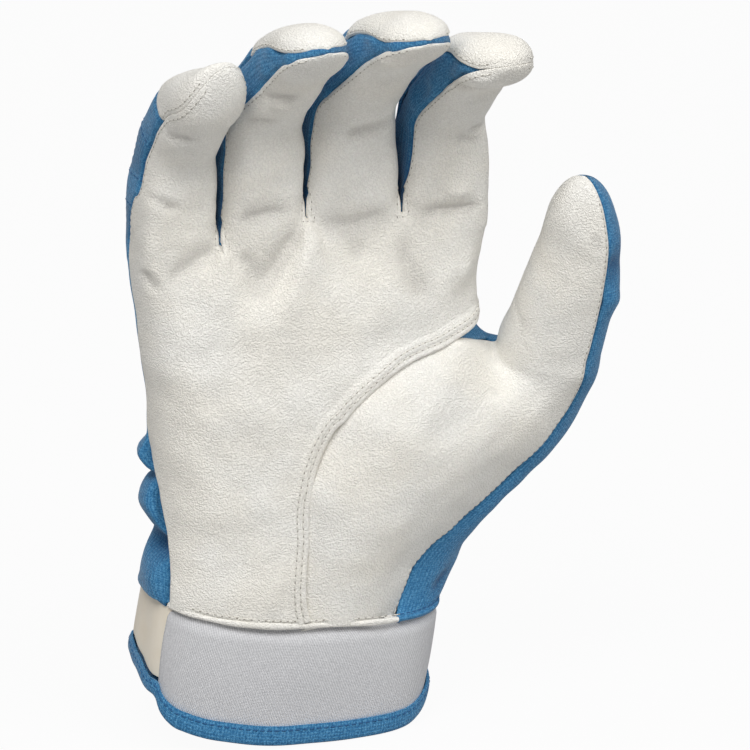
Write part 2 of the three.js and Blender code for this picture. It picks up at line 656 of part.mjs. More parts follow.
// Cuff ring: point at an angle and a height above the hem, a distance out from the ring's face.
function onCuff(degrees, height, out = 0) {
  const lean = CUFF_LEAN * (1 - height / CUFF_HEIGHT);
  const { across, front } = section(degrees, CUFF_SQUARENESS);
  return new THREE.Vector3(
    wristOval.middle - lean + across * (CUFF_WIDTH / 2 + out),
    -front * (CUFF_DEPTH / 2 + out),
    height,
  );
}

// Height of the hem at an angle.
function hemAt(degrees) {
  const turned = 1 - Math.max(Math.cos(degrees * DEG), 0) ** 1.6;
  return turned * (HEM_RISE - HEM_SLOPE * section(degrees).across);
}

// Height of the top of the cuff at an angle.
function cuffTop(degrees) {
  return CUFF_HEIGHT + wristAt(section(degrees).across) - SEAM_GAP / 2;
}

// A piece of the cuff between two angles; low and high give its edges, inner and outer its faces.
function cuffPiece(from, to, turns, low, high, inner, outer) {
  return sheet(3, turns + 1, (r, c, depth) => {
    const degrees = lerp(from, to, c / turns);
    const out = depth === 0 ? outer(degrees) : inner(degrees);
    return onCuff(degrees, lerp(low(degrees), high(degrees), r / 2), out);
  });
}

// Elastic band, strap root and the two ends of the cuff beside its slit, in one ring.
function buildCuffRing() {
  const low = (degrees) => hemAt(degrees) + BINDING_SHEET + PAD_GAP;
  const trim = SEAM_GAP / 2 / (CUFF_WIDTH / 2) / DEG;
  const pieces = [
    ["cuff_side", SLIT_LEFT, STRAP_ROOT, 4, BLUE_FABRIC],
    ["strap_root", STRAP_ROOT, BAND_LEFT, 4, CREAM_STRAP],
    ["wrist_band", BAND_LEFT, BAND_RIGHT, 18, GREY_ELASTIC],
    ["cuff_back", BAND_RIGHT, SLIT_RIGHT + 360, 10, BLUE_FABRIC],
  ];
  for (const [name, from, to, turns, look] of pieces) {
    const shape = cuffPiece(from + trim, to - trim, turns, low, cuffTop, () => -CUFF_SHEET, () => 0);
    add(name, shape, look, glove);
  }
}

// Binding folded over the hem: a channel that follows the ring from one side of the slit to the other.
function addBinding() {
  const wall = BINDING_SHEET;
  const [inner, outer] = [-CUFF_SHEET - PAD_GAP, PAD_GAP];
  const profile = [
    [outer + wall, BINDING_HEIGHT], [outer + wall, 0], [inner - wall, 0], [inner - wall, BINDING_HEIGHT],
    [inner, BINDING_HEIGHT], [inner, wall], [outer, wall], [outer, BINDING_HEIGHT],
  ];
  const turns = 30;
  const positions = [];
  const index = [];
  const n = profile.length;
  for (const degrees of spread(SLIT_LEFT, SLIT_RIGHT + 360, turns))
    for (const [out, up] of profile) positions.push(...onCuff(degrees, hemAt(degrees) + up, out).toArray());
  for (let t = 0; t < turns; t++)
    for (let i = 0; i < n; i++) {
      const [a, b] = [t * n + i, t * n + ((i + 1) % n)];
      index.push(a, b, b + n, a, b + n, a + n);
    }
  const ends = [[0, 1, 7], [1, 6, 7], [1, 2, 6], [2, 5, 6], [2, 3, 5], [3, 4, 5]];
  for (const [a, b, c] of ends) {
    index.push(a, c, b);
    index.push(turns * n + a, turns * n + b, turns * n + c);
  }
  add("hem_binding", facingOut(positions, index), BLUE_FABRIC, glove);
}

// Closure strap from its root round the slit to the loop pad, with the hook pad under its free end.
function buildStrap() {
  const lift = PAD_GAP + PAD_SHEET + PAD_GAP + PAD_SHEET + PAD_GAP;
  const rise = (degrees) => lerp(PAD_GAP, lift, smooth(-degrees, -STRAP_ROOT, -SLIT_RIGHT));
  const low = (degrees) => hemAt(degrees) + BINDING_HEIGHT + STRAP_INSET;
  const high = (degrees) => cuffTop(degrees) - STRAP_INSET;
  const rounded = (degrees) => {
    const share = clamp((degrees - STRAP_TIP) / STRAP_TIP_TURN, 0, 1);
    return (1 - Math.sqrt(1 - (1 - share) ** 2)) * ((high(degrees) - low(degrees)) / 2) * 0.8;
  };
  const trim = SEAM_GAP / 2 / (CUFF_WIDTH / 2) / DEG;
  add("closure_strap", cuffPiece(
    STRAP_TIP, STRAP_ROOT - trim, 20,
    (d) => low(d) + rounded(d), (d) => high(d) - rounded(d), rise, (d) => rise(d) + STRAP_SHEET,
  ), CREAM_STRAP, glove);
  const [padFrom, padTo] = [STRAP_TIP + STRAP_TIP_TURN, STRAP_TIP + STRAP_TIP_TURN + PAD_LENGTH];
  const padLow = (d) => low(d) + PAD_INSET;
  const padHigh = (d) => high(d) - PAD_INSET;
  const hook = PAD_GAP + PAD_SHEET + PAD_GAP;
  const pad = (name, out) => {
    const shape = cuffPiece(padFrom, padTo, 6, padLow, padHigh, () => out, () => out + PAD_SHEET);
    add(name, shape, HOOK_TAPE, glove);
  };
  pad("hook_pad", hook);
  pad("loop_pad", PAD_GAP);
}

// Tongue behind the vent in the back.
function addTongue(panel) {
  const column = panel.columns.findIndex((c, i) => c.finger !== panel.columns[i + 1].finger);
  const middle = (panel.columns[column].fromLeft + panel.columns[column + 1].fromLeft) / 2;
  const steps = 6;
  add("vent_tongue", sheet(steps + 1, 5, (r, c, depth) => {
    const { angle, height } = panel.low(lerp(0.03, VENT_TOP_SHARE + 0.06, r / steps), middle);
    const lap = lerp(-TONGUE_LAP, TONGUE_LAP, c / 4);
    return onPalm(180 - angle - lap, height, FABRIC + LAP_GAP + depth * FABRIC);
  }), BLUE_FABRIC);
}

for (const finger of FINGERS) buildFinger(finger);
CROTCHES.forEach((crotch, i) => addWeb(FINGERS[i], FINGERS[i + 1], crotch));
const palm = new HandPanel({
  onBack: false, thickness: LEATHER, seam: THUMB_SEAM, lowRows: 12, highRows: 6, turns: 4,
});
add("palm_panel", palm.geometry(), WHITE_LEATHER);
const back = new HandPanel({
  onBack: true, thickness: FABRIC, seam: BACK_SEAM, lowRows: 10, highRows: 5, turns: 4, vent: true,
});
add("back_panel", back.geometry(), BLUE_FABRIC);
addTongue(back);
buildThumb();
addThumbWeb();
buildCuffRing();
addBinding();
buildStrap();

export default glove;
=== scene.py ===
"""Looks of a right-hand batting glove: leather palm and fingers, knit back, elastic cuff and strap.

Sizes are millimetres in the glove's own frame: +Z from the wrist to the fingertips, the palm
towards -Y, the thumb towards +X, and heights above the lowest point of the hem.
"""

import logging
import math
from dataclasses import dataclass
from enum import Enum
from typing import Callable, Optional, Sequence, Union

import bpy
import numpy as np
from mathutils import Matrix, Vector
from mathutils.kdtree import KDTree


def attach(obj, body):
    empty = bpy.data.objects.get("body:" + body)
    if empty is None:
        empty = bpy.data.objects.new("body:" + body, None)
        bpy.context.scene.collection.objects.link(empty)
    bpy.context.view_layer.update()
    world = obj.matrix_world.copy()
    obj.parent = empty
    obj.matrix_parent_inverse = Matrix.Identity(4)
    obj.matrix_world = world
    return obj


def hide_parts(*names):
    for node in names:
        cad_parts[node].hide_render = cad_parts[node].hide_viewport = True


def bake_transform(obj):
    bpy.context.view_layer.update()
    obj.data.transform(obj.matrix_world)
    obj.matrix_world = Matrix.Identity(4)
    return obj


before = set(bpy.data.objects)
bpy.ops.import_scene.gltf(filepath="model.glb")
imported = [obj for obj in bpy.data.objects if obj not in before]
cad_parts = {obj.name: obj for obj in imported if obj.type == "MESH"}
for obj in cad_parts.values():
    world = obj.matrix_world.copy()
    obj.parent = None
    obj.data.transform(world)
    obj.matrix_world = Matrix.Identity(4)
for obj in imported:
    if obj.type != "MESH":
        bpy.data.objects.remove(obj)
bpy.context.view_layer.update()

log = logging.getLogger("batting_glove")
Array = np.ndarray
Piece = bpy.types.Object
Socket = bpy.types.NodeSocket
Material = bpy.types.Material
Pair = tuple[float, float]
Point = tuple[float, float, float]
Colour = tuple[float, float, float]
MM = 0.001
ALL = slice(None)
RIGHT = np.array([1.0, 0.0, 0.0])
REAR = np.array([0.0, 1.0, 0.0])
UP = np.array([0.0, 0.0, 1.0])
SQUARENESS = 2.5
WRIST_SQUARENESS = 3.0
CURVE_STEPS = 40


# Small sums


def smooth(value: Array, low: float, high: float) -> Array:
    """Eased step from 0 at low to 1 at high."""
    share = np.clip((np.asarray(value, float) - low) / (high - low), 0, 1)
    return share * share * (3 - 2 * share)


def mix(start: Array, end: Array, share: Array) -> Array:
    """Straight blend of two values."""
    return start + (end - start) * share


def unit(vectors: Array) -> Array:
    """Vectors scaled to length 1."""
    return vectors / np.maximum(np.linalg.norm(vectors, axis=-1, keepdims=True), 1e-9)


def bell(distance: Array, width: float) -> Array:
    """Smooth bump of height 1 at distance 0."""
    return np.exp(-((distance / width) ** 2))


def signed_power(value: Array, exponent: float) -> Array:
    """Power that keeps the sign."""
    return np.sign(value) * np.abs(value) ** exponent


def summed(steps: Array) -> Array:
    """Running total of steps along the last axis, from 0."""
    start = np.zeros((*steps.shape[:-1], 1))
    return np.concatenate([start, np.cumsum(steps, axis=-1)], axis=-1)


def run_lengths(points: Array) -> Array:
    """Lengths along a line of points, from 0 at its first."""
    return summed(np.linalg.norm(np.diff(points, axis=0), axis=1))


def values_at(places: Array, lengths: Array, values: Array) -> Array:
    """Values at places along a line, whose points have these lengths and values."""
    return np.stack([np.interp(places, lengths, column) for column in values.T], axis=-1)


def matched(*values: Array) -> Sequence[Array]:
    """Values brought to one shape."""
    return np.broadcast_arrays(*(np.asarray(value, float) for value in values))


def four_of(grid: Array) -> Array:
    """Where all four corners of a cell hold."""
    return grid[:-1, :-1] & grid[:-1, 1:] & grid[1:, :-1] & grid[1:, 1:]


def diagonals_crossed(points: Array, quads: Array) -> Array:
    """Direction that each quad faces."""
    a, b, c, d = (points[quads[:, i]] for i in range(4))
    return np.cross(c - a, d - b)


def section(degrees: Array, squareness: float = SQUARENESS) -> tuple[Array, Array]:
    """Rounded section of a finger, the palm or the cuff.

    Args:
        degrees: angle from the middle of the palm side.
        squareness: exponent of the section; 2 is an ellipse.

    Returns:
        Shares across and towards the palm.
    """
    angle = np.radians(degrees)
    power = 2 / squareness
    return signed_power(np.sin(angle), power), signed_power(np.cos(angle), power)


def angle_at(across: Array) -> Array:
    """Angle on a rounded section whose across share is given."""
    return np.degrees(np.arcsin(signed_power(np.clip(across, -1, 1), SQUARENESS / 2)))


def curve_through(points: Sequence[Sequence[float]]) -> Callable[[Array], Array]:
    """Smooth curve through points.

    Args:
        points: two or three numbers each, in order.

    Returns:
        A function from a share of the curve's length to its point.
    """
    knots = np.asarray(points, float)
    ends = (2 * knots[0] - knots[1], 2 * knots[-1] - knots[-2])
    full = np.vstack([ends[0], knots, ends[1]])
    run = np.linspace(0, 1, CURVE_STEPS)[:, None]
    cubic = 2 * run**3 - 3 * run**2
    pieces = []
    for a, b, c, d in zip(full[:-3], full[1:-2], full[2:-1], full[3:]):
        ab, bc, cd = (max(np.linalg.norm(q - p), 1e-6) ** 0.5 for p, q in ((a, b), (b, c), (c, d)))
        leave = ((b - a) / ab - (c - a) / (ab + bc) + (c - b) / bc) * bc
        arrive = ((c - b) / bc - (d - b) / (bc + cd) + (d - c) / cd) * bc
        pieces.append(
            (cubic + 1) * b + (run**3 - 2 * run**2 + run) * leave - cubic * c + (run**3 - run**2) * arrive
        )
    line = np.vstack(pieces)
    length = run_lengths(line)
    length /= length[-1]
    return lambda share: values_at(share, length, line)


@dataclass(frozen=True)
class Ripple:
    """Soft unevenness of a sewn skin: a sum of waves in all directions.

    The same places always give the same heights.
    """

    wavelength: float
    height: float
    seed: int
    waves: int = 22

    def __call__(self, points: Array) -> Array:
        """Height at each point."""
        dice = np.random.default_rng(self.seed)
        directions = unit(dice.normal(size=(self.waves, 3)))
        pitches = 2 * np.pi / (self.wavelength * dice.uniform(0.75, 1.5, self.waves))
        phases = dice.uniform(0, 2 * np.pi, self.waves)
        total = np.zeros(points.shape[:-1])
        for direction, pitch, phase in zip(directions, pitches, phases):
            total += np.cos(points @ direction * pitch + phase)
        return total * self.height / math.sqrt(self.waves / 2)


class FoldKind(Enum):
    """Which way a crease moves the skin."""

    VALLEY = -1
    RIDGE = 1


@dataclass(frozen=True)
class Crease:
    """A crease in a skin, along a short curve: a broad bend with a narrower line in it."""

    points: tuple[Point, ...]
    width: float
    depth: float
    kind: FoldKind = FoldKind.VALLEY

    steps = 60
    reach = 3
    ends = (-0.05, 0.3)
    broad = 0.85
    line_depth, line_width = 0.4, 0.36

    def __call__(self, points: Array) -> Array:
        """Height that the crease adds at each point."""
        line = curve_through(self.points)(np.linspace(0, 1, self.steps))
        around = self.reach * self.width
        near = ((points > line.min(0) - around) & (points < line.max(0) + around)).all(-1)
        squared = ((points[near][:, None, :] - line) ** 2).sum(-1)
        distance = np.sqrt(squared.min(1))
        share = squared.argmin(1) / (self.steps - 1)
        fade = self.depth * smooth(share, *self.ends) * smooth(1 - share, *self.ends)
        profile = self.broad * bell(distance, self.width)
        profile += self.line_depth * bell(distance, self.line_width * self.width)
        height = np.zeros(points.shape[:-1])
        height[near] = self.kind.value * fade * profile
        return height


# Shading


Number = Union["Value", float]


class Value:
    """A number that changes over a surface; sums and products of it add Math nodes."""

    def __init__(self, surface: "Surface", socket: Socket) -> None:
        """Wraps a socket of the surface's node tree."""
        self.surface = surface
        self.socket = socket

    def __add__(self, other: Number) -> "Value":
        """Sum."""
        return self.surface.math("ADD", self, other)

    __radd__ = __add__

    def __mul__(self, other: Number) -> "Value":
        """Product."""
        return self.surface.math("MULTIPLY", self, other)

    __rmul__ = __mul__

    def __sub__(self, other: Number) -> "Value":
        """Difference."""
        return self.surface.math("SUBTRACT", self, other)

    def __rsub__(self, other: Number) -> "Value":
        """Difference from a plain number."""
        return self.surface.math("SUBTRACT", other, self)

    def sine(self) -> "Value":
        """Sine."""
        return self.surface.math("SINE", self)

    def absolute(self) -> "Value":
        """Value without its sign."""
        return self.surface.math("ABSOLUTE", self)

    def stretched(self, low: float, high: float) -> "Value":
        """Share of the way from low to high, eased and held between 0 and 1."""
        settings = {"interpolation_type": "SMOOTHSTEP"}
        node = self.surface.node("MapRange", settings, {"Value": self, "From Min": low, "From Max": high})
        return Value(self.surface, node.outputs["Result"])


class Surface:
    """Node tree of one finish."""

    suffix = "_finish"

    def __init__(self, name: str) -> None:
        """Starts a material with an empty principled shader."""
        self.material = bpy.data.materials.new(name + self.suffix)
        self.material.use_nodes = True
        self.tree = self.material.node_tree
        self.shader = self.tree.nodes["Principled BSDF"]

    def node(self, kind: str, settings: Optional[dict] = None,
             sockets: Optional[dict] = None) -> bpy.types.Node:
        """Adds a node.

        Args:
            kind: node type without its ShaderNode prefix.
            settings: attributes of the node, set first.
            sockets: values or links of its input sockets, by name or number.

        Returns:
            The node.
        """
        made = self.tree.nodes.new("ShaderNode" + kind)
        for key, value in (settings or {}).items():
            setattr(made, key, value)
        for key, value in (sockets or {}).items():
            self.feed(made.inputs[key], value)
        return made

    def feed(self, socket: Socket, value: object) -> None:
        """Sets a socket's value, or links it."""
        if isinstance(value, Value):
            self.tree.links.new(value.socket, socket)
        elif isinstance(value, Socket):
            self.tree.links.new(value, socket)
        elif isinstance(value, tuple) and socket.type == "RGBA":
            socket.default_value = (*value, 1.0)
        else:
            socket.default_value = value

    def math(self, operation: str, *values: Number) -> Value:
        """Adds a Math node on up to three values."""
        made = self.node("Math", {"operation": operation}, dict(enumerate(values)))
        return Value(self, made.outputs[0])

    def place(self) -> Socket:
        """Place of the surface at rest, in metres."""
        return self.node("Attribute", {"attribute_name": "rest_place"}).outputs["Vector"]

    def weave(self) -> tuple[Value, Value]:
        """Lengths across and along the cloth, in millimetres."""
        flat = self.node("UVMap", {"uv_map": "weave"}).outputs[0]
        split = self.node("SeparateXYZ", None, {0: flat})
        return Value(self, split.outputs[0]) * (1 / MM), Value(self, split.outputs[1]) * (1 / MM)

    def attribute(self, name: str) -> Value:
        """A number stored on the mesh."""
        return Value(self, self.node("Attribute", {"attribute_name": name}).outputs["Fac"])

    def noise(self, size: float, detail: float = 3, roughness: float = 0.5) -> Value:
        """Noise with features of a size in millimetres."""
        sockets = {"Vector": self.place(), "Scale": 1 / (size * MM), "Detail": detail, "Roughness": roughness}
        return Value(self, self.node("TexNoise", None, sockets).outputs[0])

    def cells(self, size: float) -> Value:
        """Distance in from the edges of cells of a size in millimetres, as a share of it."""
        settings = {"feature": "DISTANCE_TO_EDGE"}
        sockets = {"Vector": self.place(), "Scale": 1 / (size * MM)}
        return Value(self, self.node("TexVoronoi", settings, sockets).outputs["Distance"])

    def blend(self, share: Value, start: Union[Colour, Socket],
              end: Colour) -> Socket:
        """Colour between two colours."""
        return self.node("Mix", {"data_type": "RGBA"}, {0: share, 6: start, 7: end}).outputs[2]

    def bump(self, height: Value, distance: float, strength: float) -> None:
        """Bumps the shader's normal by a height whose unit is a distance in millimetres."""
        made = self.node("Bump", None, {"Height": height, "Distance": distance * MM, "Strength": strength})
        self.feed(self.shader.inputs["Normal"], made.outputs[0])

    def set(self, **values: object) -> None:
        """Sets or links the shader's sockets; underscores stand for spaces."""
        for key, value in values.items():
            self.feed(self.shader.inputs[key.replace("_", " ")], value)


@dataclass(frozen=True)
class Leather:
    """Thin white leather with a pebbled grain, a little warmer in patches; its greyer folded colour darkens
    the grain and, as painted shade, the skin's folds.
    """

    name: str
    pale: Colour
    warm: Colour
    folded: Colour
    grain: float = 0.48
    grain_depth: float = 0.26

    def material(self) -> Material:
        """Makes the finish."""
        skin = Surface(self.name)
        pebbles = skin.noise(self.grain, 1, 0.4).stretched(0.36, 0.62)
        fine = skin.cells(1.1).stretched(0.0, 0.25)
        patches = skin.noise(24, 2).stretched(0.35, 0.68)
        clouds = skin.noise(7, 3).stretched(0.3, 0.75)
        colour = skin.blend(patches * 0.75, self.pale, self.warm)
        # The crease mark is painted shade: it darkens the skin's folds towards the folded colour, along with
        # the grain's low places.
        grain_and_fold_shade = skin.attribute("crease") * 0.55 + (1 - pebbles) * (0.2 + clouds * 0.1) + (1 - fine) * 0.08
        colour = skin.blend(grain_and_fold_shade, colour, self.folded)
        skin.bump(pebbles * 0.6 + fine * 0.25 + skin.noise(2.2, 2) * 0.25, self.grain_depth, 0.9)
        skin.set(
            Base_Color=colour,
            Roughness=0.58 + clouds * 0.1 - pebbles * 0.08,
            Specular_IOR_Level=0.35,
        )
        return skin.material


@dataclass(frozen=True)
class Knit:
    """Stretch knit: rows of small loops with lighter fibres on top."""

    name: str
    deep: Colour
    body: Colour
    bright: Colour
    wale: float = 0.85
    depth: float = 0.16

    def material(self) -> Material:
        """Makes the finish."""
        cloth = Surface(self.name)
        across, along = cloth.weave()
        turn = 2 * math.pi / self.wale
        wander = cloth.noise(1.1, 3) * 5.0
        loops = (across * turn + wander).sine()
        rows = ((along + (across * turn).sine().absolute() * 0.3) * (turn * 1.15) + wander).sine()
        height = loops * 0.35 + rows * 0.35
        fuzz = cloth.noise(0.6, 4, 0.75)
        lit = (height * 0.12 + fuzz).stretched(0.4, 0.75)
        colour = cloth.blend(lit, self.body, self.bright)
        sunk = (0.62 - height * 0.12 - fuzz).stretched(0.0, 0.4) * 0.6
        colour = cloth.blend(sunk, colour, self.deep)
        # Painted shade: the crease mark darkens the knit towards its deep colour in folds, in the slits
        # beside the fingers and between the gathered lumps.
        colour = cloth.blend(cloth.attribute("crease") * 0.8, colour, self.deep)
        cloth.bump(height * 0.6 + fuzz * 0.9, self.depth, 0.9)
        cloth.set(
            Base_Color=colour,
            Roughness=0.92,
            Specular_IOR_Level=0.2,
            Sheen_Weight=0.25,
            Sheen_Roughness=0.4,
        )
        return cloth.material


@dataclass(frozen=True)
class Elastic:
    """Woven elastic with a fine twill and a satin shine."""

    name: str
    pale: Colour
    dark: Colour
    rib: float = 0.62

    def material(self) -> Material:
        """Makes the finish."""
        web = Surface(self.name)
        across, along = web.weave()
        turn = 2 * math.pi / self.rib
        twill = ((across * 0.86 + along * 0.5) * turn + web.noise(1.4, 2) * 1.2).sine()
        weft = (along * (turn * 1.6)).sine()
        fibres = web.noise(0.5, 3, 0.6)
        shade = (twill * 0.16 + weft * 0.07 + fibres).stretched(0.3, 0.75)
        colour = web.blend(shade, self.dark, self.pale)
        web.bump(twill * 0.5 + weft * 0.25 + fibres * 0.5, 0.1, 0.7)
        web.set(Base_Color=colour, Roughness=0.5 + fibres * 0.15, Specular_IOR_Level=0.4)
        return web.material


@dataclass(frozen=True)
class SmoothStrap:
    """Smooth coated strap with a faint grain and paler rubbed patches."""

    name: str
    body: Colour
    rubbed: Colour

    def material(self) -> Material:
        """Makes the finish."""
        strap = Surface(self.name)
        grain = strap.noise(0.7, 3, 0.6)
        clouds = strap.noise(9, 2).stretched(0.35, 0.7)
        colour = strap.blend(clouds * 0.35 + strap.attribute("crease") * 0.6, self.body, self.rubbed)
        strap.bump(grain, 0.05, 0.5)
        strap.set(Base_Color=colour, Roughness=0.42 + grain * 0.12, Specular_IOR_Level=0.4)
        return strap.material


@dataclass(frozen=True)
class Thread:
    """Sewing thread with a visible twist."""

    name: str
    body: Colour
    shaded: Colour

    def material(self) -> Material:
        """Makes the finish."""
        thread = Surface(self.name)
        across, along = thread.weave()
        twist = ((across + along * 1.4) * 22.0).sine().stretched(-1.0, 1.0)
        thread.set(
            Base_Color=thread.blend(twist * 0.5, self.body, self.shaded),
            Roughness=0.6 + twist * 0.1,
        )
        thread.bump(twist, 0.05, 0.6)
        return thread.material


@dataclass(frozen=True)
class HookTape:
    """Hook or loop tape: a field of tiny ends."""

    name: str
    body: Colour
    shaded: Colour
    pitch: float

    def material(self) -> Material:
        """Makes the finish."""
        tape = Surface(self.name)
        dots = tape.cells(self.pitch).stretched(0.0, 0.35)
        fuzz = tape.noise(0.4, 3)
        tape.bump(dots + fuzz * 0.4, 0.25, 1.0)
        tape.set(
            Base_Color=tape.blend(dots, self.shaded, self.body),
            Roughness=0.7 + fuzz * 0.2,
        )
        return tape.material


class Finish(Enum):
    """The finishes on the glove."""

    # The leather's folded colour and the knits' deep colours also paint shade where the crease mark is set.
    LEATHER = Leather("white_leather", (0.945, 0.927, 0.875), (0.935, 0.896, 0.81), (0.64, 0.615, 0.57))
    KNIT = Knit("blue_knit", (0.01, 0.06, 0.17), (0.04, 0.205, 0.425), (0.14, 0.39, 0.63))
    RIB = Knit("blue_rib", (0.009, 0.05, 0.15), (0.03, 0.16, 0.34), (0.1, 0.31, 0.52), 1.2, 0.25)
    ELASTIC = Elastic("grey_elastic", (0.73, 0.73, 0.745), (0.56, 0.56, 0.575))
    STRAP = SmoothStrap("cream_strap", (0.9, 0.81, 0.665), (0.95, 0.9, 0.8))
    WHITE_THREAD = Thread("white_thread", (0.86, 0.84, 0.78), (0.6, 0.57, 0.5))
    BLUE_THREAD = Thread("blue_thread", (0.02, 0.13, 0.32), (0.01, 0.06, 0.18))
    # Dark beads of painted shade at the needle holes.
    HOLE_SHADE = Thread("needle_hole_shade", (0.4, 0.37, 0.32), (0.3, 0.27, 0.23))
    HOOK = HookTape("hook_tape", (0.72, 0.71, 0.68), (0.45, 0.44, 0.42), 0.9)
    LOOP = HookTape("loop_tape", (0.76, 0.75, 0.72), (0.55, 0.54, 0.52), 0.6)

    def material(self) -> Material:
        """The finish's material, made the first time it is asked for."""
        return bpy.data.materials.get(self.value.name + Surface.suffix) or self.value.material()

    def slot(self) -> str:
        """Material slot of the record that this finish belongs to."""
        shared = {
            Finish.KNIT: "blue_fabric",
            Finish.RIB: "blue_fabric",
            Finish.BLUE_THREAD: "blue_fabric",
            Finish.WHITE_THREAD: "white_leather",
            Finish.HOLE_SHADE: "white_leather",
        }
        return shared.get(self, self.value.name)


# Meshes


@dataclass(frozen=True)
class Follow:
    """What carries a piece: one body, or two with a stretch between them."""

    body: str
    second: Optional[str] = None
    start: Optional[Array] = None
    end: Optional[Array] = None

    def carry(self, piece: Piece) -> None:
        """Hands the piece to its body; a piece between two bodies only has its placement baked into its mesh.
        """
        if self.second is None:
            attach(piece, self.body)
            return
        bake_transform(piece)


ON_HAND = Follow("hand")


def make_mesh(
    name: str,
    points: Array,
    faces: Array,
    corner_normals: Optional[Array] = None,
    flat: Optional[Array] = None,
    crease: Optional[Array] = None,
) -> Piece:
    """Makes a mesh object.

    Args:
        name: name of the object.
        points: vertices in millimetres.
        faces: quads, as rows of vertex numbers.
        corner_normals: normal of each corner of each quad, where the shading is given.
        flat: lengths across and along the cloth for each vertex, in millimetres.
        crease: 0 to 1 for each vertex, painted shade where the skin is folded or shaded.

    Returns:
        The object, smooth shaded.
    """
    mesh = bpy.data.meshes.new(name)
    mesh.from_pydata((points * MM).tolist(), [], faces.tolist())
    mesh.polygons.foreach_set("use_smooth", np.ones(len(faces), bool))
    rest = mesh.attributes.new("rest_place", "FLOAT_VECTOR", "POINT")
    rest.data.foreach_set("vector", (points * MM).astype(np.float32).ravel())
    # The crease attribute holds painted shade for the finishes to darken by.
    marked = mesh.attributes.new("crease", "FLOAT", "POINT")
    values = np.zeros(len(points)) if crease is None else crease
    marked.data.foreach_set("value", values.astype(np.float32))
    layer = mesh.uv_layers.new(name="weave")
    lengths = points[:, [0, 2]] if flat is None else flat
    layer.data.foreach_set("uv", (lengths[faces.ravel()] * MM).astype(np.float32).ravel())
    mesh.update()
    if corner_normals is not None:
        mesh.normals_split_custom_set(corner_normals.reshape(-1, 3).tolist())
    made = bpy.data.objects.new(name, mesh)
    bpy.context.scene.collection.objects.link(made)
    return made


def dress(piece: Piece, finish: Finish, follow: Follow, replaces: Sequence[str] = ()) -> None:
    """Gives a piece its finish and its carrier, and hides the construction nodes that it stands for.

    Args:
        piece: the object.
        finish: its finish.
        follow: what carries it.
        replaces: nodes that it stands for.
    """
    piece.data.materials.append(finish.material())
    follow.carry(piece)
    if replaces:
        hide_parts(*replaces)
    log.info("%s: %d faces", piece.name, len(piece.data.polygons))


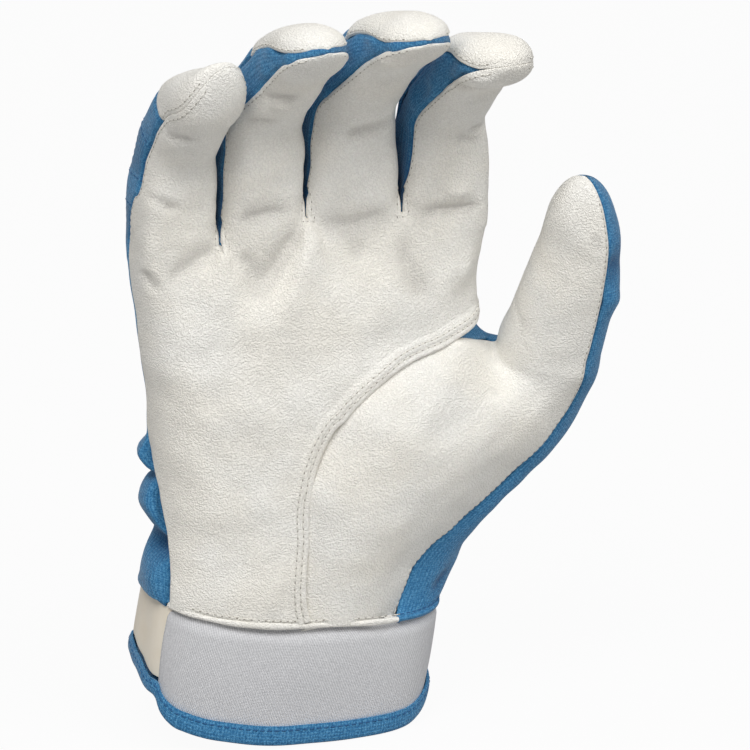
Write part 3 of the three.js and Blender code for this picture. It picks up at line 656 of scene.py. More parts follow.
@dataclass
class Skin:
    """Outer face of one or more panels, as a grid of points in rows up the glove and columns round it."""

    points: Array
    outward: Optional[Array] = None
    linked: Optional[Array] = None

    # Painted shade: a valley as deep as full_fold darkens fully, and no more than darkest.
    full_fold, darkest = 1.2, 0.8
    neighbours, softness = 5, 0.05

    def __post_init__(self) -> None:
        """Links every cell, unless told which, and starts with no painted shade."""
        rows, columns = self.points.shape[:2]
        if self.linked is None:
            self.linked = np.ones((rows - 1, columns - 1), bool)
        self.crease = np.zeros((rows, columns))

    def normals(self) -> Array:
        """Unit normals that point out of the glove, from the linked cells."""
        p = self.points
        across = np.cross(p[1:, 1:] - p[:-1, :-1], p[1:, :-1] - p[:-1, 1:])
        across[~self.linked] = 0
        total = np.zeros_like(p)
        for rows in (slice(None, -1), slice(1, None)):
            for columns in (slice(None, -1), slice(1, None)):
                total[rows, columns] += across
        found = unit(total)
        if self.outward is not None:
            found *= np.sign((found * self.outward).sum())
        return found

    def push(self, height: Array) -> None:
        """Moves the skin out along its normals by a height at each point."""
        self.points = self.points + self.normals() * height[..., None]

    def fold(self, creases: Sequence[Crease]) -> None:
        """Presses creases into the skin and marks painted shade in their valleys."""
        height = sum(crease(self.points) for crease in creases)
        self.push(height)
        self.crease = np.maximum(self.crease, np.clip(-height / self.full_fold, 0, self.darkest))

    def relax(self, rounds: int, rows: slice) -> None:
        """Evens out kinks between the stretches of a skin, away from its edges."""
        free, inside = np.zeros((2, *self.points.shape[:2]), bool)
        free[1:-1, 1:-1] = four_of(self.linked)
        inside[rows] = True
        free &= inside
        for _ in range(rounds):
            p = self.points
            mean = (np.roll(p, 1, 0) + np.roll(p, -1, 0) + np.roll(p, 1, 1) + np.roll(p, -1, 1)) / 4
            self.points = np.where(free[..., None], mix(p, mean, 0.5), p)

    def from_left(self, columns: slice = ALL) -> Array:
        """Length across from the left edge of a set of columns, at each point."""
        return summed(np.linalg.norm(np.diff(self.points[:, columns], axis=1), axis=-1))

    def from_right(self, columns: slice = ALL) -> Array:
        """Length across from the right edge of a set of columns, at each point."""
        lengths = self.from_left(columns)
        return lengths[:, -1:] - lengths

    def inset_line(self, inset: float, from_right: bool = False, rows: slice = ALL,
                   columns: slice = ALL) -> tuple[Array, Array]:
        """Line at a distance in from one edge of some columns, for stitches, with the skin's normals."""
        lengths = (self.from_right(columns) if from_right else self.from_left(columns))[rows]
        order = slice(None, None, -1 if from_right else 1)
        line, normals = (
            np.array([values_at(inset, d[order], v[order]) for d, v in zip(lengths, grid[:, columns][rows])])
            for grid in (self.points, self.normals())
        )
        return line, unit(normals)

    def flat(self) -> Array:
        """Lengths across and along the cloth, the same down each column and along each row."""
        p = self.points
        across = summed(np.linalg.norm(np.diff(p, axis=1), axis=-1).mean(0))
        along = summed(np.linalg.norm(np.diff(p, axis=0), axis=-1).mean(1))
        return np.stack(np.broadcast_arrays(across[None, :], along[:, None]), axis=-1)

    def settle(self, points: Array, rows: slice = ALL) -> tuple[Array, Array]:
        """Moves points square onto the skin.

        Args:
            points: points near the skin.
            rows: rows of the skin to look at.

        Returns:
            The points on the skin, and its normals there.
        """
        part = Skin(self.points[rows], self.outward)
        places = part.points.reshape(-1, 3)
        facing = part.normals().reshape(-1, 3)
        tree = KDTree(len(places))
        for number, place in enumerate(places):
            tree.insert(place, number)
        tree.balance()
        flat = points.reshape(-1, 3)
        moved, normals = np.empty_like(flat), np.empty_like(flat)
        for i, point in enumerate(flat):
            near = tree.find_n(point, self.neighbours)
            index = [n[1] for n in near]
            weight = np.array([1 / (n[2] ** 2 + self.softness) for n in near])
            weight /= weight.sum()
            normals[i] = unit(weight @ facing[index])
            moved[i] = point + normals[i] * (weight @ ((places[index] - point) * normals[i]).sum(-1))
        return moved.reshape(points.shape), normals.reshape(points.shape)

    def panel(self, name: str, thickness: float, rows: slice = ALL,
              columns: slice = ALL) -> Piece:
        """Cuts a panel out of the skin as a closed shell.

        Args:
            name: name of the object.
            thickness: thickness of the stock, inwards.
            rows: rows of points to keep, end included.
            columns: columns of points to keep, end included.

        Returns:
            The object, shaded with the whole skin's normals.
        """
        outer = self.points[rows, columns].reshape(-1, 3)
        normals = self.normals()[rows, columns].reshape(-1, 3)
        up, across = (np.arange(n)[part] for n, part in zip(self.crease.shape, (rows, columns)))
        kept = self.linked[np.ix_(up[:-1], across[:-1])]
        number = np.arange(len(outer)).reshape(len(up), len(across))
        round_cell = (number[:-1, :-1], number[:-1, 1:], number[1:, 1:], number[1:, :-1])
        quads = np.stack(round_cell, -1)[kept]
        if (diagonals_crossed(outer, quads) * normals[quads[:, 0]]).sum() < 0:
            quads = quads[:, ::-1]
        total = len(outer)
        edges = np.concatenate([quads[:, [i, (i + 1) % 4]] for i in range(4)]).tolist()
        forward = set(map(tuple, edges))
        rim = np.array([e for e in edges if (e[1], e[0]) not in forward], int).reshape(-1, 2)
        walls = np.stack([rim[:, 1], rim[:, 0], rim[:, 0] + total, rim[:, 1] + total], -1)
        faces = np.concatenate([quads, quads[:, ::-1] + total, walls])
        points = np.concatenate([outer, outer - normals * thickness])
        wall_normals = np.repeat(unit(diagonals_crossed(points, walls))[:, None, :], 4, axis=1)
        corners = np.concatenate([normals[quads], -normals[quads[:, ::-1]], wall_normals])
        used, faces = np.unique(faces, return_inverse=True)
        faces = faces.reshape(-1, 4)
        lengths = np.tile(self.flat()[rows, columns].reshape(-1, 2), (2, 1))
        crease = np.tile(self.crease[rows, columns].ravel(), 2)
        return make_mesh(name, points[used], faces, corners, lengths[used], crease[used])


def rolled(distance: Array, radius: Array) -> Array:
    """How far a turned edge of a radius drops at a distance from it."""
    share = np.clip(1 - distance / radius, 0, 1)
    return radius * (1 - np.sqrt(1 - share * share))


@dataclass(frozen=True)
class Stitching:
    """A row of stitches, with dark beads of painted shade at the needle holes between them."""

    length: float = 1.5
    gap: float = 0.55
    radius: float = 0.2
    hole: float = 0.2

    look = 0.4
    proud, flatness = 0.25, 0.8
    hole_shade_shape = (1.9, 0.85, 0.4)
    rings, sides = 5, 8

    def sew(self, name: str, line: Array, normals: Array, finish: Finish,
            follow: Follow = ON_HAND) -> None:
        """Sews along a line that lies on a skin; beside white thread, dark beads paint the shade of the
        needle holes.

        Args:
            name: name of the piece.
            line: points of the line.
            normals: normals of the skin there.
            finish: finish of the thread.
            follow: what carries the stitches.
        """
        length = run_lengths(line)
        count = max(1, int(length[-1] // (self.length + self.gap)))
        middles = (np.arange(count) + 0.5) * (length[-1] / count)
        place = values_at(middles, length, line)
        up = unit(values_at(middles, length, normals))
        ends = (values_at(middles + shift, length, line) for shift in (self.look, -self.look))
        ahead = unit(np.subtract(*ends))
        side = np.cross(up, ahead)
        sizes = (self.length / 2, self.radius, self.radius * self.flatness)
        place = place + up * self.radius * self.proud
        dress(self._beads(name, place, ahead, side, up, sizes), finish, follow)
        # Painted shade: dark beads sit at the needle holes beside white thread.
        if finish is Finish.WHITE_THREAD:
            ends = np.clip(middles + length[-1] / count / 2, 0, length[-1])
            place = values_at(ends, length, line)
            up = unit(values_at(ends, length, normals))
            sizes = tuple(self.hole * share for share in self.hole_shade_shape)
            dress(self._beads(name + "_holes", place, ahead, side, up, sizes), Finish.HOLE_SHADE, follow)

    def sew_edges(self, name: str, skin: Skin, inset: float, rows: slice, columns: slice,
                  follow: Follow) -> None:
        """Sews white thread down both edges of a finger's panel."""
        for from_right, side in ((False, "left"), (True, "right")):
            line = skin.inset_line(inset, from_right, rows, columns)
            self.sew(f"{name}_{side}_stitches", *line, Finish.WHITE_THREAD, follow)

    def _beads(self, name: str, place: Array, ahead: Array, side: Array, up: Array,
               sizes: Point) -> Piece:
        """Rounded beads, one at each place, with sizes along the row, across it and up."""
        rings, sides = self.rings, self.sides
        lean = np.linspace(-0.98, 0.98, rings) * np.pi / 2
        turn = np.arange(sides) * 2 * np.pi / sides
        along = np.repeat(np.sin(lean), sides)
        round_ = np.repeat(np.cos(lean) ** 0.6, sides)
        across = round_ * np.tile(np.cos(turn), rings)
        high = round_ * np.tile(np.sin(turn), rings)
        local = np.stack([along * sizes[0], across * sizes[1], high * sizes[2]], -1)
        axes = np.stack([ahead, side, up], 1)
        points = (place[:, None, :] + np.einsum("vk,nkd->nvd", local, axes)).reshape(-1, 3)
        i, j = np.meshgrid(np.arange(rings - 1), np.arange(sides), indexing="ij")
        k = (j + 1) % sides
        this, after = i * sides, (i + 1) * sides
        quads = np.stack([this + j, this + k, after + k, after + j], -1).reshape(-1, 4)
        low = [[0, 3, 2, 1], [0, 5, 4, 3], [0, 7, 6, 5]]
        high_ring = (rings - 1) * sides
        top = [[high_ring + a for a in quad[::-1]] for quad in low]
        quads = np.concatenate([quads[:, ::-1], np.array(low)[:, ::-1], np.array(top)[:, ::-1]])
        faces = (quads[None] + (np.arange(len(place)) * rings * sides)[:, None, None]).reshape(-1, 4)
        flat = np.tile(np.stack([np.tile(turn, rings) * 0.3, along * sizes[0]], -1), (len(place), 1))
        return make_mesh(name, points, faces, None, flat)


@dataclass(frozen=True)
class Ribbon:
    """A narrow strip laid along a line on a skin, with a profile across it.

    The profile's points are a distance across, to the left of the line's run, and a height.
    """

    profile: tuple[Pair, ...]
    steps: int = 26

    def lay(self, skin: Skin, line: Array, rows: slice = ALL) -> Skin:
        """Lays the strip.

        Args:
            skin: what it lies on.
            line: points of the line, near the skin.
            rows: rows of the skin to look at.

        Returns:
            The strip's own skin.
        """
        on, normals = skin.settle(line, rows)
        ahead = unit(np.gradient(on, axis=0))
        side = unit(np.cross(normals, ahead))
        shape = curve_through(self.profile)(np.linspace(0, 1, self.steps))
        points = on[:, None, :] + side[:, None, :] * shape[None, :, :1]
        settled, _ = skin.settle(points, rows)
        return Skin(settled + normals[:, None, :] * shape[None, :, 1:], normals.mean(0))


# Form of the hand


TURN = math.radians(10)
ACROSS = RIGHT * math.cos(TURN) + REAR * math.sin(TURN)
FORWARD = RIGHT * math.sin(TURN) - REAR * math.cos(TURN)
LEATHER_STOCK = 1.0
KNIT_STOCK = 0.9
FINGER_GAP = 0.8
ROW_MIDDLE = 6.0
CROTCHES = (142.5, 149.0, 148.0)
SPLIT = 12.5
CAP_LAP = 3.0
SIDE_END = 3.5
TIP_BAND = 1.2
UNDER_LAP = 6.0
BEND_CLEAR = 0.3
WRIST_HEIGHT, WRIST_SLOPE, WRIST_SAG = 35.2, 4.2, 2.6
WRIST_LEFT, WRIST_HALF = 0.5, 41.0


@dataclass(frozen=True)
class FingerSize:
    """Sizes of one finger: lengths run along its middle line from the fold at the palm."""

    name: str
    width: float
    depth: float
    fold: float
    lengths: Point
    bends: Point
    set_back: float = 0.0
    banded: bool = False
    flatten: float = 0.6
    back_flatten: float = 0.25
    bulge: float = 0.0
    tip_shift: Pair = (0.0, 0.0)
    tip_roll: float = 0.0
    side_seam: float = 86.0
    taper: float = 0.94
    splay: float = 0.0


FINGER_SIZES = (
    FingerSize("little", 22.0, 21, 145.5, (23, 21, 20), (5, 35, 28), 0.5, flatten=0.35, bulge=1.0,
               back_flatten=0.45, tip_shift=(0.0, 7.0), tip_roll=18, splay=0.8),
    FingerSize("ring", 23.4, 22.5, 151.5, (25, 26, 24), (6, 36, 28), banded=True, bulge=1.0,
               taper=0.9, splay=1.2),
    FingerSize("middle", 26.5, 23, 152, (27, 28, 25), (6, 39, 30), banded=True, bulge=0.6,
               taper=0.84, splay=1.7),
    FingerSize("index", 25.0, 22.5, 150.5, (24.5, 24, 23), (8, 39, 31), flatten=0.5,
               side_seam=76.0, taper=0.86),
)
ROW_WIDTH = (sum(s.width + FINGER_GAP for s in FINGER_SIZES) - FINGER_GAP) / math.cos(TURN)


class Finger:
    """Form of one finger."""

    dome, dome_power = 14.0, 2.4
    knuckle_run = 9.0
    knuckle_stretch = 23
    pinch, pinch_height = 0.28, 9
    step, lowest = 0.25, -60
    base_rows, middle_rows, cap_rows, dome_rows = 18, 52, 11, 20
    web_angles = (42, 130)
    foot_squareness = 4.5
    outer_seams = (95.0, 82.0)
    knuckle_seam, web_seam, back_seam, tip_seam = 64, 87, 118, 88
    tip_opening = 2.0

    def __init__(self, size: FingerSize, middle: float, crotches: Pair) -> None:
        """Places a finger by the middle of its base and the heights of the webs beside it."""
        self.size = size
        self.middle = middle
        self.crotches = crotches
        self.length = sum(size.lengths)
        self.to_knuckle = size.lengths[0]
        self.to_end = size.lengths[0] + size.lengths[1]
        self.cap_from = self.to_end - CAP_LAP
        self.outer_left = size.name == "little"
        self.outer_right = size.name == "index"
        self._steps = np.arange(self.lowest, self.length + 1, self.step)
        lean = np.radians(self.lean(self._steps))
        self._rise = self._summed(np.cos(lean))
        self._reach = self._summed(np.sin(lean))

    def _summed(self, slope: Array) -> Array:
        """Adds up a slope along the middle line, from 0 at the fold."""
        total = summed((slope[1:] + slope[:-1]) * self.step / 2)
        return total - np.interp(0, self._steps, total)

    def lean(self, along: Array) -> Array:
        """Lean of the middle line from upright, in degrees."""
        places = (0.0, self.to_knuckle, self.to_end)
        run = self.knuckle_run
        return sum(bend * smooth(along, at - run, at + run) for bend, at in zip(self.size.bends, places))

    def line(self, along: Array) -> Array:
        """Point of the middle line."""
        foot = np.array([self.middle, self.size.set_back, self.size.fold])
        rise = np.interp(along, self._steps, self._rise)[..., None]
        reach = np.interp(along, self._steps, self._reach)[..., None]
        return foot + UP * rise + FORWARD * reach

    def above_web(self, along: Array, across: Array) -> Array:
        """Height above the webs at a share across the finger, from -1 to 1."""
        return along + self.size.fold - mix(*self.crotches, np.clip(across, -1, 1) / 2 + 0.5)

    def web_limit(self, along: Array, across: float) -> Array:
        """Angle whose depth a side keeps to: shallow at the web, so that a slit starts as a cut."""
        return mix(*self.web_angles, smooth(self.above_web(along, across), -1, 16))

    def into_dome(self, along: Array) -> Array:
        """Share of the way up the rounded end."""
        return np.clip((along - self.length + self.dome) / self.dome, 0, 1)

    def outline(self, along: Array, degrees: Array, depth_degrees: Array) -> tuple[Array, Array]:
        """Distances across and towards the palm from the middle line, for the angles of surface."""
        size = self.share(along)
        square = mix(self.foot_squareness, SQUARENESS, smooth(along, 0, self.to_knuckle + 8))
        across, front = section(degrees, square)[0], section(depth_degrees, square)[1]
        pad = np.clip((along - self.to_end + 4) / (self.length - self.to_end + 4), 0, 1)
        flatter = 1 - np.where(front > 0, self.size.flatten, self.size.back_flatten) * pad
        swollen = self.size.bulge * np.maximum(across, 0) * bell(along - self.to_knuckle * 0.4, 14)
        slit = np.where(across < 0, not self.outer_left, not self.outer_right)
        above = self.above_web(along, np.sign(across))
        closed = self.pinch * slit * (1 - smooth(above, 0, self.pinch_height))
        wide = across * (size * self.size.width / 2 + closed) + swollen
        return wide, front * flatter * size * self.size.depth / 2

    def surface(self, along: Array, degrees: Array, depth_degrees: Optional[Array] = None) -> Array:
        """Point of the finger's surface at a length along it and an angle from its palm side.

        Args:
            along: length from the finger's fold.
            degrees: angle that sets how far across the point lies.
            depth_degrees: angle that sets its depth, where that is another.

        Returns:
            The point.
        """
        depth_degrees = degrees if depth_degrees is None else depth_degrees
        along, degrees, depth_degrees = matched(along, degrees, depth_degrees)
        wide, deep = (value[..., None] for value in self.outline(along, degrees, depth_degrees))
        turn = TURN * smooth(self.above_web(along, 2 * wide[..., 0] / self.size.width), -1, 18)[..., None]
        sideways = RIGHT * np.cos(turn) + REAR * np.sin(turn)
        forward = RIGHT * np.sin(turn) - REAR * np.cos(turn)
        lean = np.radians(self.lean(along))[..., None]
        to_back = -forward * np.cos(lean) + UP * np.sin(lean)
        into = self.into_dome(along)[..., None] ** 2
        across_by, back_by = self.size.tip_shift
        drift = across_by * into + self.size.splay * smooth(along, 8, self.length)[..., None]
        return self.line(along) + sideways * (wide + drift) - to_back * (deep - back_by * into)

    def share(self, along: Array) -> Array:
        """Size of the finger's section as a share of its size at the palm."""
        taper = mix(1, self.size.taper, np.clip(along / self.to_end, 0, 1.1))
        return taper * np.sqrt(np.maximum(0, 1 - self.into_dome(along) ** self.dome_power))

    def edges(self, along: Array) -> tuple[Array, Array, Array, Array]:
        """Angles of the seams: front left, back left, front right and back right."""
        into_tip = smooth(along, self.to_end + 2, self.length - 2)
        outer = self.outer_seams[0]
        if self.outer_left:
            outer = mix(*self.outer_seams, smooth(along, -2, 30))
        seam = self.size.side_seam
        front = mix(seam, self.knuckle_seam, smooth(along, self.to_knuckle - 2, self.to_end + 2))
        front = front + (self.web_seam - seam) * (1 - smooth(self.above_web(along, 0.0), -2, 12))
        opening, back_end = self.tip_opening, self.tip_seam
        if self.size.banded:
            half = np.maximum(self.share(along) * self.size.depth / 2, 1e-3)
            opening = np.degrees(np.arcsin(np.minimum(1, TIP_BAND / half) ** (SQUARENESS / 2)))
            back_end = 90 + opening
        front = mix(front, 90 - opening, into_tip)
        back = mix(self.back_seam, back_end, into_tip)
        outer = mix(outer, self.tip_seam, into_tip)
        roll = self.size.tip_roll * into_tip
        left = (outer, outer) if self.outer_left else (front, back)
        right = (outer, outer) if self.outer_right else (front, back)
        return left[0] - roll, left[1] - roll, right[0] + roll, right[1] + roll

    def stations(self) -> Array:
        """Lengths along the finger of the rows of its panels, from the fold to the tip."""
        straight = self.length - self.dome
        turn = np.linspace(0, np.pi / 2, self.dome_rows + 1)[1:]
        return np.concatenate([
            np.linspace(0, SPLIT, self.base_rows + 1),
            np.linspace(SPLIT, self.cap_from, self.middle_rows + 1)[1:],
            np.linspace(self.cap_from, straight, self.cap_rows + 1)[1:],
            straight + self.dome * np.sin(turn),
        ])

    def base_follow(self) -> Follow:
        """Carrier of the panels across the finger's fold."""
        high = float(self.line(np.array(SPLIT))[2]) - 1.5
        low = max(self.crotches)
        return Follow("hand", f"{self.size.name}_base", (self.middle, 0.0, low), (self.middle, 0.0, high))

    def tip_follow(self) -> Follow:
        """Carrier of the panels across the finger's middle knuckle."""
        lean = math.radians(float(self.lean(np.array(SPLIT))))
        start = self.line(np.array(SPLIT + BEND_CLEAR))
        end = start + (UP * math.cos(lean) + FORWARD * math.sin(lean)) * self.knuckle_stretch
        name = self.size.name
        return Follow(f"{name}_base", f"{name}_tip", start, end)


def place_fingers() -> tuple[Finger, ...]:
    """The four fingers in a row, from the little finger to the index finger."""
    left = ROW_MIDDLE - ROW_WIDTH / 2
    placed = []
    for i, size in enumerate(FINGER_SIZES):
        pitch = size.width / math.cos(TURN)
        beside = (CROTCHES[max(i - 1, 0)], CROTCHES[min(i, len(CROTCHES) - 1)])
        placed.append(Finger(size, left + pitch / 2, beside))
        left += pitch + FINGER_GAP / math.cos(TURN)
    return tuple(placed)


class Side(Enum):
    """The two sides of the hand."""

    FRONT = "front"
    BACK = "back"


class Palm:
    """Oval of the palm between the wrist and the fingers."""

    heights = np.array([38.0, 63.0, 93.0, 117.0, 151.5])
    middles = np.array([0.5, 5.0, 10.0, 6.0, ROW_MIDDLE])
    halves = np.array([41.8, 44.5, 50.0, 48.5, ROW_WIDTH / 2])
    fronts = np.array([24.9, 23.0, 21.0, 17.5, 11.25])
    backs = np.array([24.9, 20.0, 17.0, 15.0, 11.25])
    rounded_left, rounded_right = (106, 140), (38, 60)

    def _at(self, height: Array, values: Array) -> Array:
        """Value at a height, eased between the stations."""
        i = np.clip(np.searchsorted(self.heights, height, side="left") - 1, 0, len(self.heights) - 2)
        return mix(values[i], values[i + 1], smooth(height, self.heights[i], self.heights[i + 1]))

    def surface(self, degrees: Array, height: Array) -> Array:
        """Point of the oval, by degrees from the middle of the palm side."""
        degrees, height = matched(degrees, height)
        left, right = smooth(height, *self.rounded_left), smooth(height, *self.rounded_right)
        square = mix(WRIST_SQUARENESS, SQUARENESS, np.where(degrees < 0, left, right))
        across, front = section(degrees, square)
        deep = np.where(front > 0, self._at(height, self.fronts), self._at(height, self.backs))
        x = self._at(height, self.middles) + across * self._at(height, self.halves)
        return np.stack([x, -front * deep, height], -1)


def wrist_at(across: Array) -> Array:
    """Height of the wrist seam at a share across the wrist."""
    return WRIST_HEIGHT - WRIST_SLOPE * across + WRIST_SAG * across**2


def edge_spaced(width: float, pitch: float) -> Array:
    """Shares across a panel of a width: close together at its edges, then evenly spaced."""
    near = np.array([0, 0.3, 0.65, 1.1, 1.7, 2.5])
    margin = near[-1]
    count = max(2, int(round((width - 2 * margin) / pitch)))
    inner = np.linspace(margin, width - margin, count + 1)[1:-1]
    return np.concatenate([near, inner, width - near[::-1]]) / width


class HandSkin:
    """Palm or back of the hand with the four finger panels that run on from it."""

    low_rows, high_rows, fold_rows = 80, 28, 7
    column_room, column_pitch, tube_steps = 36.0, 1.25, 121
    web_height = 116.0
    wrist_turn = 27
    foot_rise = {Side.FRONT: -0.4, Side.BACK: 0.2}
    oval_to_finger = (26.0, 3.0)
    even_rounds, even_clear = 14, 6
    thumb_seam = (
        (-0.5, 36), (-2.5, 54), (-3, 71), (-2.5, 82), (-0.5, 91), (2, 96), (12, 102.8), (23, 106.8),
        (39.5, 109.2), (47.5, 110.5), (74, 113.2), (94, 116),
    )
    back_seam = ((46, 38), (42, 55), (44, 73), (52, 91), (66, 105), (94, 116))
    row_crotch = low_rows + high_rows
    row_fold = row_crotch + fold_rows
    row_split = row_fold + Finger.base_rows
    row_cap = row_split + Finger.middle_rows
    row_dome = row_cap + Finger.cap_rows
    row_tip = row_dome + Finger.dome_rows
    tip_even, tip_run = 0.75, 12

    def __init__(self, side: Side, fingers: tuple[Finger, ...], palm: Palm, reach: float) -> None:
        """Lays out the skin and evens it below the fingers.

        Args:
            side: palm side or back.
            fingers: the four fingers.
            palm: oval of the palm.
            reach: length by which the panel passes its seam beside the thumb.
        """
        self.side = side
        self.fingers = fingers
        self.palm = palm
        self.reach = reach
        self.sign = 1 if side is Side.FRONT else -1
        self.shares = edge_spaced(self.column_room, self.column_pitch)
        self.width = len(self.shares)
        self.seam = curve_through(self.thumb_seam if side is Side.FRONT else self.back_seam)
        self.on_oval = np.concatenate([self._oval_angles(finger) for finger in fingers])
        self.from_left = (self.on_oval - self.on_oval[0]) / (self.on_oval[-1] - self.on_oval[0])
        points = self._points()
        self.rows = np.arange(len(points))[:, None]
        self.skin = Skin(points, -self.sign * REAR, self._links(points))
        self.skin.relax(self.even_rounds, slice(2, self.row_crotch - self.even_clear))

    def ruffle(self, ripples: Sequence[Ripple]) -> None:
        """Puts soft unevenness into the skin, less of it at the fingertips."""
        tip = smooth(self.rows, self.row_dome, self.row_dome + self.tip_run)
        height = sum(ripple(self.skin.points) for ripple in ripples)
        self.skin.push(height * (1 - self.tip_even * tip))

    def columns(self, finger: Finger) -> slice:
        """Columns of one finger."""
        first = self.fingers.index(finger) * self.width
        return slice(first, first + self.width)

    def _span(self, finger: Finger, along: Array) -> tuple[Array, Array]:
        """Angles of a panel's two edges from the middle of this side, at lengths along a finger."""
        front_left, back_left, front_right, back_right = finger.edges(np.maximum(along, 0.0))
        if self.side is Side.FRONT:
            return -front_left, front_right
        lap = UNDER_LAP * (1 - smooth(along, finger.cap_from - 1, finger.to_end + 2))
        left = back_left - (lap if finger.outer_left else 0.0)
        right = back_right - (lap if finger.outer_right else 0.0)
        return left - 180, 180 - right

    def _tube(self, finger: Finger, along: Array) -> Array:
        """Angles from the middle of this side that share out the length round a finger."""
        along = np.broadcast_to(along, (len(along), self.width))
        low, high = (np.broadcast_to(edge, along.shape)[..., None] for edge in self._span(finger, along))
        degrees = mix(low, high, np.linspace(0, 1, self.tube_steps))
        turned = self._round(degrees)
        wide, deep = finger.outline(along[..., None], turned, self._depth(finger, along[..., None], turned))
        length = summed(np.hypot(np.diff(wide), np.diff(deep)) + 1e-6)
        return np.array([
            [np.interp(share * d[-1], d, a) for share, d, a in zip(self.shares, lengths, angles)]
            for lengths, angles in zip(length, degrees)
        ])

    def _depth(self, finger: Finger, along: Array, degrees: Array) -> Array:
        """Angles that set the depth of a finger's panel, held to the web's limit beside a slit."""
        if self.side is Side.BACK:
            return degrees
        low = -180.0 if finger.outer_left else -finger.web_limit(along, -1.0)
        high = 180.0 if finger.outer_right else finger.web_limit(along, 1.0)
        return np.clip(degrees, low, high)

    def _on_finger(self, finger: Finger, along: Array) -> Array:
        """Points of a finger's panel at lengths along it."""
        angle = self._round(self._tube(finger, along))
        return finger.surface(along, angle, self._depth(finger, along, angle))

    def _round(self, angle: Array) -> Array:
        """Angle from the palm side."""
        return angle if self.side is Side.FRONT else 180 - angle

    def _oval_angles(self, finger: Finger) -> Array:
        """Angles on the palm oval of the columns of a finger."""
        web = np.array([[sum(finger.crotches) / 2 - finger.size.fold]])
        tube = self._tube(finger, web)[0]
        turned = self._round(tube)
        x = finger.middle + finger.outline(web[0], turned, turned)[0]
        middle = angle_at((finger.middle - ROW_MIDDLE) / (ROW_WIDTH / 2))
        inner = angle_at((x - ROW_MIDDLE) / (ROW_WIDTH / 2))
        outer = mix(middle, np.sign(tube) * 90, np.abs(tube) / 90)
        outside = (finger.outer_left & (tube < 0)) | (finger.outer_right & (tube > 0))
        return np.where(outside, outer, inner)

    def low(self, up: Array) -> tuple[Array, Array]:
        """Angles and heights of the columns below the thumb's web, by a share up the panel."""
        turned = self.sign * self.wrist_turn * (1 - smooth(up, 0, 0.7))
        angle = self.on_oval + turned * (1 - self.from_left)
        foot = wrist_at(section(angle)[0]) + self.foot_rise[self.side]
        return angle, mix(foot, self.web_height, up)

    def _kept(self, points: Array) -> Array:
        """Which of the low points are kept: those up to the seam beside the thumb, or a reach past it."""
        angle, height = self.low(np.linspace(0, 1, self.low_rows + 1)[:, None])
        seam = self.seam(np.linspace(0, 1, 300))
        line = self.palm.surface(self._round(seam[:, 0]), seam[:, 1])
        inside = angle < np.interp(height, seam[:, 1], seam[:, 0])
        gaps = np.array([np.linalg.norm(row[:, None] - line, axis=-1).min(1) for row in points])
        return np.where(inside, gaps, -gaps) > -self.reach

    def _points(self) -> Array:
        """Points of the whole skin."""
        angle, height = self.low(np.linspace(0, 1, self.low_rows + 1)[:-1, None])
        below = self.palm.surface(self._round(angle), height)
        rise = np.linspace(0, 1, self.high_rows + 1)[:, None]
        bend = np.linspace(0, 1, self.fold_rows + 1)[1:-1, None]
        upper = []
        for finger in self.fingers:
            on_oval = self.on_oval[self.columns(finger)]
            crotch = mix(*finger.crotches, self.shares)
            heights = np.concatenate([
                mix(self.web_height, crotch, rise),
                mix(crotch, finger.size.fold, bend),
            ])
            tube = self._on_finger(finger, heights - finger.size.fold)
            slit = smooth(np.abs(2 * self.shares - 1), 0.5, 0.98)
            slit = slit * np.where(self.shares < 0.5, not finger.outer_left, not finger.outer_right)
            blend = smooth((heights - crotch) / mix(*self.oval_to_finger, slit), -1, 0)[..., None]
            lower = mix(self.palm.surface(self._round(on_oval), heights), tube, blend)
            along = finger.stations()[:, None]
            upper.append(np.concatenate([lower, self._on_finger(finger, along)]))
        return np.concatenate([below, np.concatenate(upper, axis=1)])

    def _links(self, points: Array) -> Array:
        """Cells that are there: none between two fingers above their web, or past the thumb's seam."""
        linked = np.ones((self.row_tip, self.width * len(self.fingers) - 1), bool)
        linked[self.row_crotch:, self.width - 1::self.width] = False
        linked[:self.low_rows] = four_of(self._kept(points[:self.low_rows + 1]))
        return linked

    def edge_drop(self, finger: Finger, radius: float) -> tuple[Array, Array]:
        """Drops of the turned edges down both sides of a finger, easing in below its webs."""
        columns = self.columns(finger)
        lead = smooth(self.rows, self.row_crotch - 2, self.row_crotch + 1)
        left = self.skin.from_left(columns)
        right = self.skin.from_right(columns)
        fits = np.clip(left[:, -1:] / 3, 0.02, radius)
        if not finger.size.banded:
            fits = fits * mix(1, 0.28, smooth(self.rows, self.row_cap, self.row_dome))
        return rolled(left, fits) * lead, rolled(right, fits) * lead

    def tip_rows(self, finger: Finger, start: int) -> slice:
        """Rows from a start to the tip, or to the blue band that runs round it."""
        return slice(start, self.row_tip if finger.size.banded else self.row_tip + 1)


# Sub-assemblies


